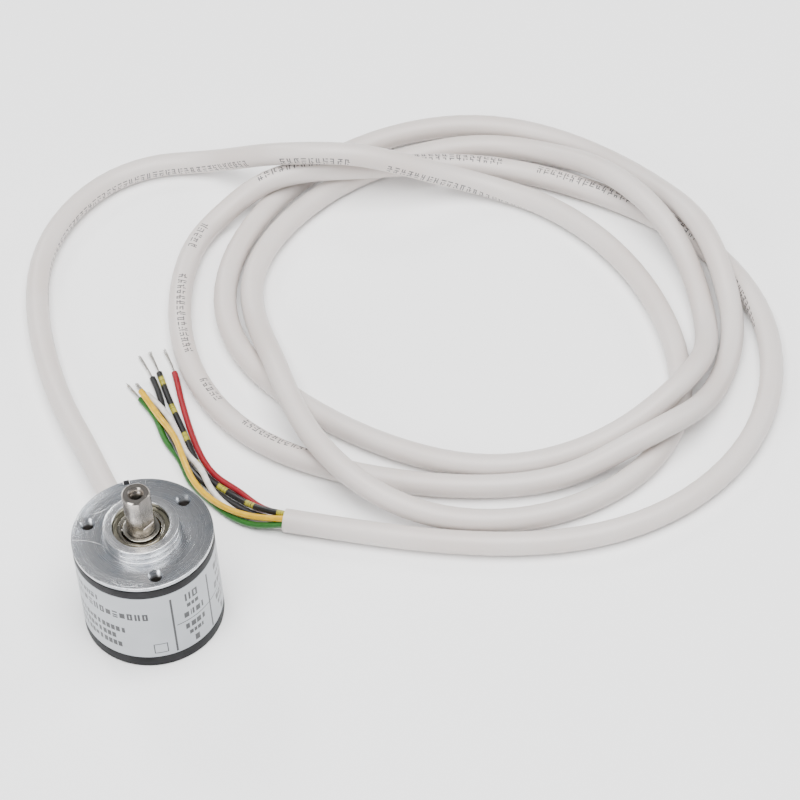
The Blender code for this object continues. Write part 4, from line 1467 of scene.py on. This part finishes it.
@dataclass
class Cable:
    """The jacketed cable, its printed line and its cut end."""

    radius: float = 2.6
    wall: float = 0.38
    exit: Point = (0.0, 18.5, 5.5)
    steps: int = 8
    sides: int = 24
    # Where the printed line faces, as (knot of the route, degrees from straight up).
    print_turn: tuple[tuple[float, float], ...] = (
        (0, 180), (4.4, 180), (5.2, 95), (12.5, 95), (14, 165), (24, 170), (29, 190), (48.2, 165),
        (48.8, 20), (54, -8), (57, 12), (59, 170), (62, 180),
    )
    route: tuple[Point, ...] = (
        (0, 9, 5.5), (0, 18.5, 5.5), (-0.8, 24.5, 5.4), (-2.6, 32, 5), (-4.7, 48, 4.3), (-6.9, 70, 3.1),
        (-1.5, 105, 2.7), (20.5, 125.5, 2.7), (41.9, 123.6, 3.6), (54, 113.5, 11.5), (65.9, 106.9, 14.6),
        (77.6, 102.8, 13.3), (90.9, 99.1, 7.6), (106.1, 92.3, 2.7), (121, 73.5, 2.7), (128.5, 42.5, 2.7),
        (120, 11, 2.7), (94.5, -3, 2.7), (68, 1, 3.3), (50.5, 14, 7.1), (42.5, 33.5, 8.8), (41, 53, 8.4),
        (41, 70.5, 3.7), (46.5, 89.5, 2.7), (69.5, 106.5, 2.7), (100, 109.5, 2.7), (118.5, 100, 3.8),
        (129, 84.5, 8.7), (137.5, 63.5, 6.7), (137, 39, 2.7), (129, 22, 8.3), (116, 14, 7.4),
        (99.5, 11.5, 3.2), (75.5, 15, 2.8), (50, 36.5, 2.7), (35, 68, 2.7), (45, 97.5, 2.7),
        (73.5, 116, 2.7), (106, 115, 2.7), (128.5, 98, 2.8), (139.5, 78.5, 5.4), (143.5, 61, 9.2),
        (144, 45.5, 5.8), (140.5, 31, 2.9), (131, 17, 4), (119, 8, 8.8), (105.5, 5.5, 6.6),
        (89, 5.5, 3.2), (62.5, 14, 2.7), (33.5, 36, 2.7), (23.5, 67, 2.7), (30.5, 94, 2.7),
        (42, 105.5, 3.7), (56, 108.5, 8.1), (74.5, 106, 7.7), (97.5, 103.5, 3.5), (120, 90.5, 2.7),
        (142.5, 64, 2.7), (149, 31.5, 2.7), (134.5, 2, 2.7), (104.5, -12, 2.7), (69.5, -6, 2.7),
        (32.5, 13, 2.7),
    )

    def build(self, grommet: bpy.types.Object) -> None:
        """Args:
            grommet: The piece that it leaves the housing through. It is not used.
        """
        line = Route(self.route, self.steps, lowest=self.radius)
        jacket = Bench.tube("cable_sheath", [line.points], self.radius, self.sides)
        self._hollow_end(jacket, line)
        paint(jacket, self._print_places(jacket, line))
        Bench.smooth(jacket, 45)
        carry(jacket, Body.HOUSING, CableSheath("cable_pvc"), ["cable_jacket"])
        2 * self.radius * MM
        line.points * MM
        LOG.info("cable: %.0f mm long", line.length)

    def _hollow_end(self, jacket: bpy.types.Object, line: Route) -> None:
        """Insets the far end's face and pushes it in, so the jacket shows its wall.

        Args:
            jacket: The swept jacket.
            line: Its route.
        """
        end = Vector(line.points[-1]) * MM
        ahead = Vector(line.tangents()[-1])
        Bench.pick(jacket)
        bpy.ops.object.mode_set(mode="EDIT")
        bpy.ops.mesh.select_mode(type="FACE")
        bpy.ops.mesh.select_all(action="DESELECT")
        bpy.ops.object.mode_set(mode="OBJECT")
        for face in jacket.data.polygons:
            face.select = (face.center - end).length < 0.5 * MM and face.normal.dot(ahead) > 0.9
        bpy.ops.object.mode_set(mode="EDIT")
        bpy.ops.mesh.inset(thickness=self.wall * MM)
        bpy.ops.mesh.extrude_region_move(TRANSFORM_OT_translate={"value": -ahead * 2.2 * MM})
        bpy.ops.object.mode_set(mode="OBJECT")

    def _print_places(self, jacket: bpy.types.Object, line: Route) -> dict[str, np.ndarray]:
        """Works out where each vertex lies beside the printed line.

        Args:
            jacket: The swept jacket.
            line: Its route.

        Returns:
            The distance along the cable and across the print, and which side faces the print.
        """
        corners = corners_of(jacket)
        nearest = np.array([np.argmin(((line.points - corner) ** 2).sum(1)) for corner in corners])
        tangent = line.tangents()
        up = np.array([0.0, 0.0, 1.0]) - tangent * tangent[:, 2:]
        up /= np.linalg.norm(up, axis=1)[:, None]
        side = np.cross(tangent, up)
        knots, turns = zip(*self.print_turn)
        turn = np.radians(np.interp(line.knot, knots, turns))[:, None]
        facing = up * np.cos(turn) + side * np.sin(turn)
        across = np.cross(tangent, facing)
        offset = corners - line.points[nearest]
        return {
            "along": line.along[nearest] + (offset * tangent[nearest]).sum(1),
            "across": (offset * across[nearest]).sum(1),
            "facing": (offset * facing[nearest]).sum(1),
        }


@dataclass
class Lead:
    """One insulated lead that ends in a bare twisted strand."""

    name: str
    hue: Hue
    strand: float
    slot: str
    points: tuple[Point, ...]
    band: Hue | None = None
    radius: float = 0.7
    wire: float = 0.072
    tuck: float = 1.8

    def build(self) -> None:
        line = Route(self.points, 10)
        bare = line.length - self.strand
        path = line.between(-self.tuck, bare, 0.5)
        lead = Bench.tube(self.name, [path], self.radius, 16)
        if self.band is not None:
            corners = corners_of(lead)
            nearest = np.array([np.argmin(((path - corner) ** 2).sum(1)) for corner in corners])
            paint(lead, {"along": nearest * 0.5})
        Bench.smooth(lead, 50)
        finish = WireSheath(f"{self.name}_sheath", self.hue, self.band)
        carry(lead, Body.HOUSING, finish, [self.node])
        strand = Bench.tube(f"{self.name}_strand", self._twist(line, bare), self.wire, 6)
        Bench.smooth(strand, 60)
        carry(strand, Body.HOUSING, TinnedStrand(f"{self.name}_tin"))
        [value * MM for value in self.points[0]]
        2 * self.radius * MM
        path * MM

    @property
    def node(self) -> str:
        """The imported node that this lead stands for."""
        return self.name.replace("wire", "lead")

    def _twist(self, line: Route, bare: float) -> list[np.ndarray]:
        """Lays six thin wires round a seventh, opening a little at the tip.

        Args:
            line: The lead's route.
            bare: Where the insulation ends.

        Returns:
            The seven wires' points.
        """
        dice = random.Random(self.name)
        core = line.between(bare - 1.0, line.length, 0.25)
        ahead = np.gradient(core, axis=0)
        ahead /= np.linalg.norm(ahead, axis=1)[:, None]
        side = np.cross(ahead, [0.0, 0.0, 1.0])
        side /= np.linalg.norm(side, axis=1)[:, None]
        up = np.cross(side, ahead)
        share = np.linspace(0, 1, len(core))
        found = [core]
        for index in range(6):
            spread = 0.17 + dice.uniform(0.05, 0.3) * share**4
            turn = index * math.pi / 3 + share * self.strand * 0.9
            ring = side * np.cos(turn)[:, None] + up * np.sin(turn)[:, None]
            wire = core + ring * spread[:, None]
            wire[:, 2] = np.maximum(wire[:, 2], 0.1)
            keep = len(core) - dice.randrange(0, 3)
            found.append(wire[:keep])
        return found


@dataclass
class Harness:
    """The six leads at the cable's cut end."""

    leads: list[Lead] = field(default_factory=list)

    def __post_init__(self) -> None:
        """Lists the leads with their routes."""
        self.leads = [
            Lead("wire_red", Hue.RED, 7.5, "wire_red", (
                (32.4, 14.7, 2.7), (28.3, 19.7, 1.4), (25.2, 25.6, 0.8), (21.6, 31.3, 0.8),
                (19.8, 37.8, 0.8), (19.3, 44.5, 0.8), (19.3, 51.3, 0.8), (19.6, 58, 0.8),
                (19.9, 64.7, 0.8), (19.3, 71.4, 0.8),
            )),
            Lead("wire_banded", Hue.BLACK, 7.0, "wire_banded", (
                (32, 14.1, 4), (27.4, 18.8, 2.5), (23.9, 24.6, 0.9), (20.2, 30.5, 0.8), (18.3, 37.2, 0.8),
                (17.8, 44.1, 0.8), (17.3, 51.1, 0.8), (16.8, 58, 0.8), (16.6, 65, 0.8), (16, 71.9, 0.8),
            ), band=Hue.OLIVE),
            Lead("wire_black", Hue.BLACK, 7.7, "wire_black", (
                (32, 14.1, 1.4), (26.6, 18.5, 0.8), (22.2, 24, 0.8), (18.6, 30.1, 1), (15.8, 36.5, 2.4),
                (14.8, 43.5, 1.9), (14.6, 50.4, 0.8), (15.1, 57.5, 0.8), (14.7, 64.6, 0.8),
                (13.5, 71.5, 0.8),
            )),
            Lead("wire_yellow", Hue.YELLOW, 2.5, "wire_yellow", (
                (31.4, 12.7, 4), (26.2, 16.1, 2.8), (21.6, 20.3, 2.3), (18, 25.5, 2.3), (16, 31.4, 2.7),
                (15.4, 37.5, 4.1), (15, 43.8, 3.5), (13.7, 49.8, 2.4), (12.2, 55.9, 2.3),
                (10.7, 62.1, 2.3),
            )),
            Lead("wire_green", Hue.GREEN, 5.7, "wire_green", (
                (31, 12.1, 2.7), (25.5, 15.2, 1.4), (21.2, 20.1, 0.8), (18, 25.9, 0.8), (15.6, 32.2, 0.8),
                (14.9, 38.7, 0.8), (13.3, 44.9, 0.8), (12.8, 51.5, 0.8), (11.1, 57.8, 0.8),
                (8.9, 64.1, 0.8),
            )),
            Lead("wire_white", Hue.WHITE, 4.5, "wire_white", (
                (31.4, 12.7, 1.4), (26.3, 16.4, 0.9), (22.3, 21.3, 0.9), (19.5, 26.9, 2),
                (18.5, 33.1, 2.6), (16.8, 39.2, 1.7), (16.3, 45.4, 1.6), (15, 51.6, 2.3),
                (13.2, 57.5, 1.3), (10.9, 63.5, 0.9),
            )),
        ]

    def build(self) -> None:
        """Builds every lead."""
        for lead in self.leads:
            lead.build()


@dataclass
class Inside:
    """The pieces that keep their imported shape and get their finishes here."""

    def build(self) -> None:
        """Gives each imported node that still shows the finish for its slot."""
        steel = TurnedMetal("bearing_steel", (0.42, 0.40, 0.38), (0.28, 0.27, 0.25), 0.2, 0.004)
        brass = TurnedMetal("turned_brass", (0.62, 0.44, 0.16), (0.50, 0.34, 0.12), 0.28, 0.006)
        finishes: dict[str, object] = {
            "turned_aluminium": TurnedMetal("rolled_aluminium"),
            "bearing_steel": steel,
            "shaft_steel": TurnedMetal("spacer_steel", (0.52, 0.50, 0.47), (0.40, 0.38, 0.36), 0.25, 0.006),
            "black_rubber": MouldedPlastic("seal_rubber", (0.02, 0.02, 0.02), 0.6, 0.01),
            "brass": brass,
            "disc_glass": ClearGlass("optic_glass"),
            "board_green": CircuitLaminate("board_laminate"),
            "component_black": MouldedPlastic("moulded_package", (0.022, 0.022, 0.024), 0.5, 0.008),
        }
        made = {slot: finish.material() for slot, finish in finishes.items()}
        made["code_disc"] = ClearGlass("disc_glass", lines=180).material()
        slots = {part["node"]: part["material_slot"] for part in frame["record"]["subparts"]}
        for name, node in frame["nodes"].items():
            if node.hide_render:
                continue
            material = made.get(name) or made[slots[name]]
            node.data.materials.clear()
            node.data.materials.append(material)
            LOG.info("%s keeps its shape, in %s", name, material.name)


@dataclass
class Studio:
    """The pale floor, the soft lights and the camera."""

    lens: float = 180.0
    distance: float = 891.0
    target: tuple[float, float] = (56.1, 53.5)
    pitch: float = 48.81
    roll: float = -4.91
    bearing: float = -12.05

    def camera(self) -> None:
        """Puts the camera above and in front of the encoder, with the coil behind it."""
        pitch, roll = math.radians(self.pitch), math.radians(self.roll)
        ahead = Vector((0, math.cos(pitch), -math.sin(pitch)))
        right, up = Vector((1, 0, 0)), Vector((0, math.sin(pitch), math.cos(pitch)))
        across = right * math.cos(roll) + up * math.sin(roll)
        upward = up * math.cos(roll) - right * math.sin(roll)
        place = Vector((*self.target, 0)) - ahead * self.distance
        matrix = Matrix((across, upward, -ahead)).transposed().to_4x4()
        matrix.translation = place * MM
        data = bpy.data.cameras.new("camera")
        data.lens, data.sensor_width = self.lens, 36.0
        data.clip_start, data.clip_end = 0.05, 20.0
        camera = bpy.data.objects.new("camera", data)
        camera.matrix_world = Matrix.Rotation(math.radians(self.bearing), 4, "Z") @ matrix
        bpy.context.scene.collection.objects.link(camera)
        bpy.context.scene.camera = camera

    def floor(self) -> None:
        """Lays a large pale floor just under the object."""
        Bench.clear()
        bpy.ops.mesh.primitive_plane_add(size=6.0, location=(0, 0, -0.0001))
        floor = bpy.context.active_object
        floor.name = "floor"
        graph = Graph("pale_floor")
        graph.surface(base_color=(0.97, 0.97, 0.97), roughness=0.9, specular_ior_level=0.1)
        floor.data.materials.append(graph.material)

    def lights(self) -> None:
        """Hangs large soft lights round the object, over a world that is pale low down and dark above."""
        world = bpy.data.worlds.new("soft_world")
        world.use_nodes = True
        nodes, links = world.node_tree.nodes, world.node_tree.links
        place = nodes.new("ShaderNodeTexCoord")
        split = nodes.new("ShaderNodeSeparateXYZ")
        fall = nodes.new("ShaderNodeMapRange")
        for index, value in enumerate((0.0, 0.55, 0.8, 0.18)):
            fall.inputs[index + 1].default_value = value
        links.new(place.outputs["Generated"], split.inputs[0])
        links.new(split.outputs["Z"], fall.inputs[0])
        background = nodes["Background"]
        background.inputs["Color"].default_value = (0.93, 0.96, 1.0, 1.0)
        links.new(fall.outputs[0], background.inputs["Strength"])
        bpy.context.scene.world = world
        self._lamp("overhead_light", (0.05, -0.15, 1.1), 1.0, 32.0)
        self._lamp("left_light", (-0.9, -0.5, 0.6), 0.6, 9.0)
        self._lamp("right_light", (1.0, 0.1, 0.5), 0.4, 4.0)
        self._lamp("rear_light", (-0.2, 0.95, 0.7), 0.22, 4.0)

    @staticmethod
    def _lamp(name: str, place: Point, size: float, power: float) -> None:
        """Hangs one square light that faces the middle of the object.

        Args:
            name: Its name.
            place: Where it hangs, in metres.
            size: Its side in metres.
            power: Its power in watts.
        """
        data = bpy.data.lights.new(name, "AREA")
        data.size, data.energy = size, power
        lamp = bpy.data.objects.new(name, data)
        lamp.location = place
        lamp.rotation_euler = (Vector((0.06, 0.05, 0)) - Vector(place)).to_track_quat("-Z", "Y").to_euler()
        bpy.context.scene.collection.objects.link(lamp)


def main() -> None:
    """Builds the studio and each sub-assembly in turn."""
    logging.basicConfig(level=logging.INFO, format="%(name)s: %(message)s")
    studio = Studio()
    studio.camera()
    cable = Cable()
    cable.build(Grommet().build())
    Harness().build()
    Flange().build()
    Cap().build()
    ShaftEnd().build()
    FrontBearing().build()
    Inside().build()
    studio.floor()
    studio.lights()


if __name__ == "__main__":
    main()
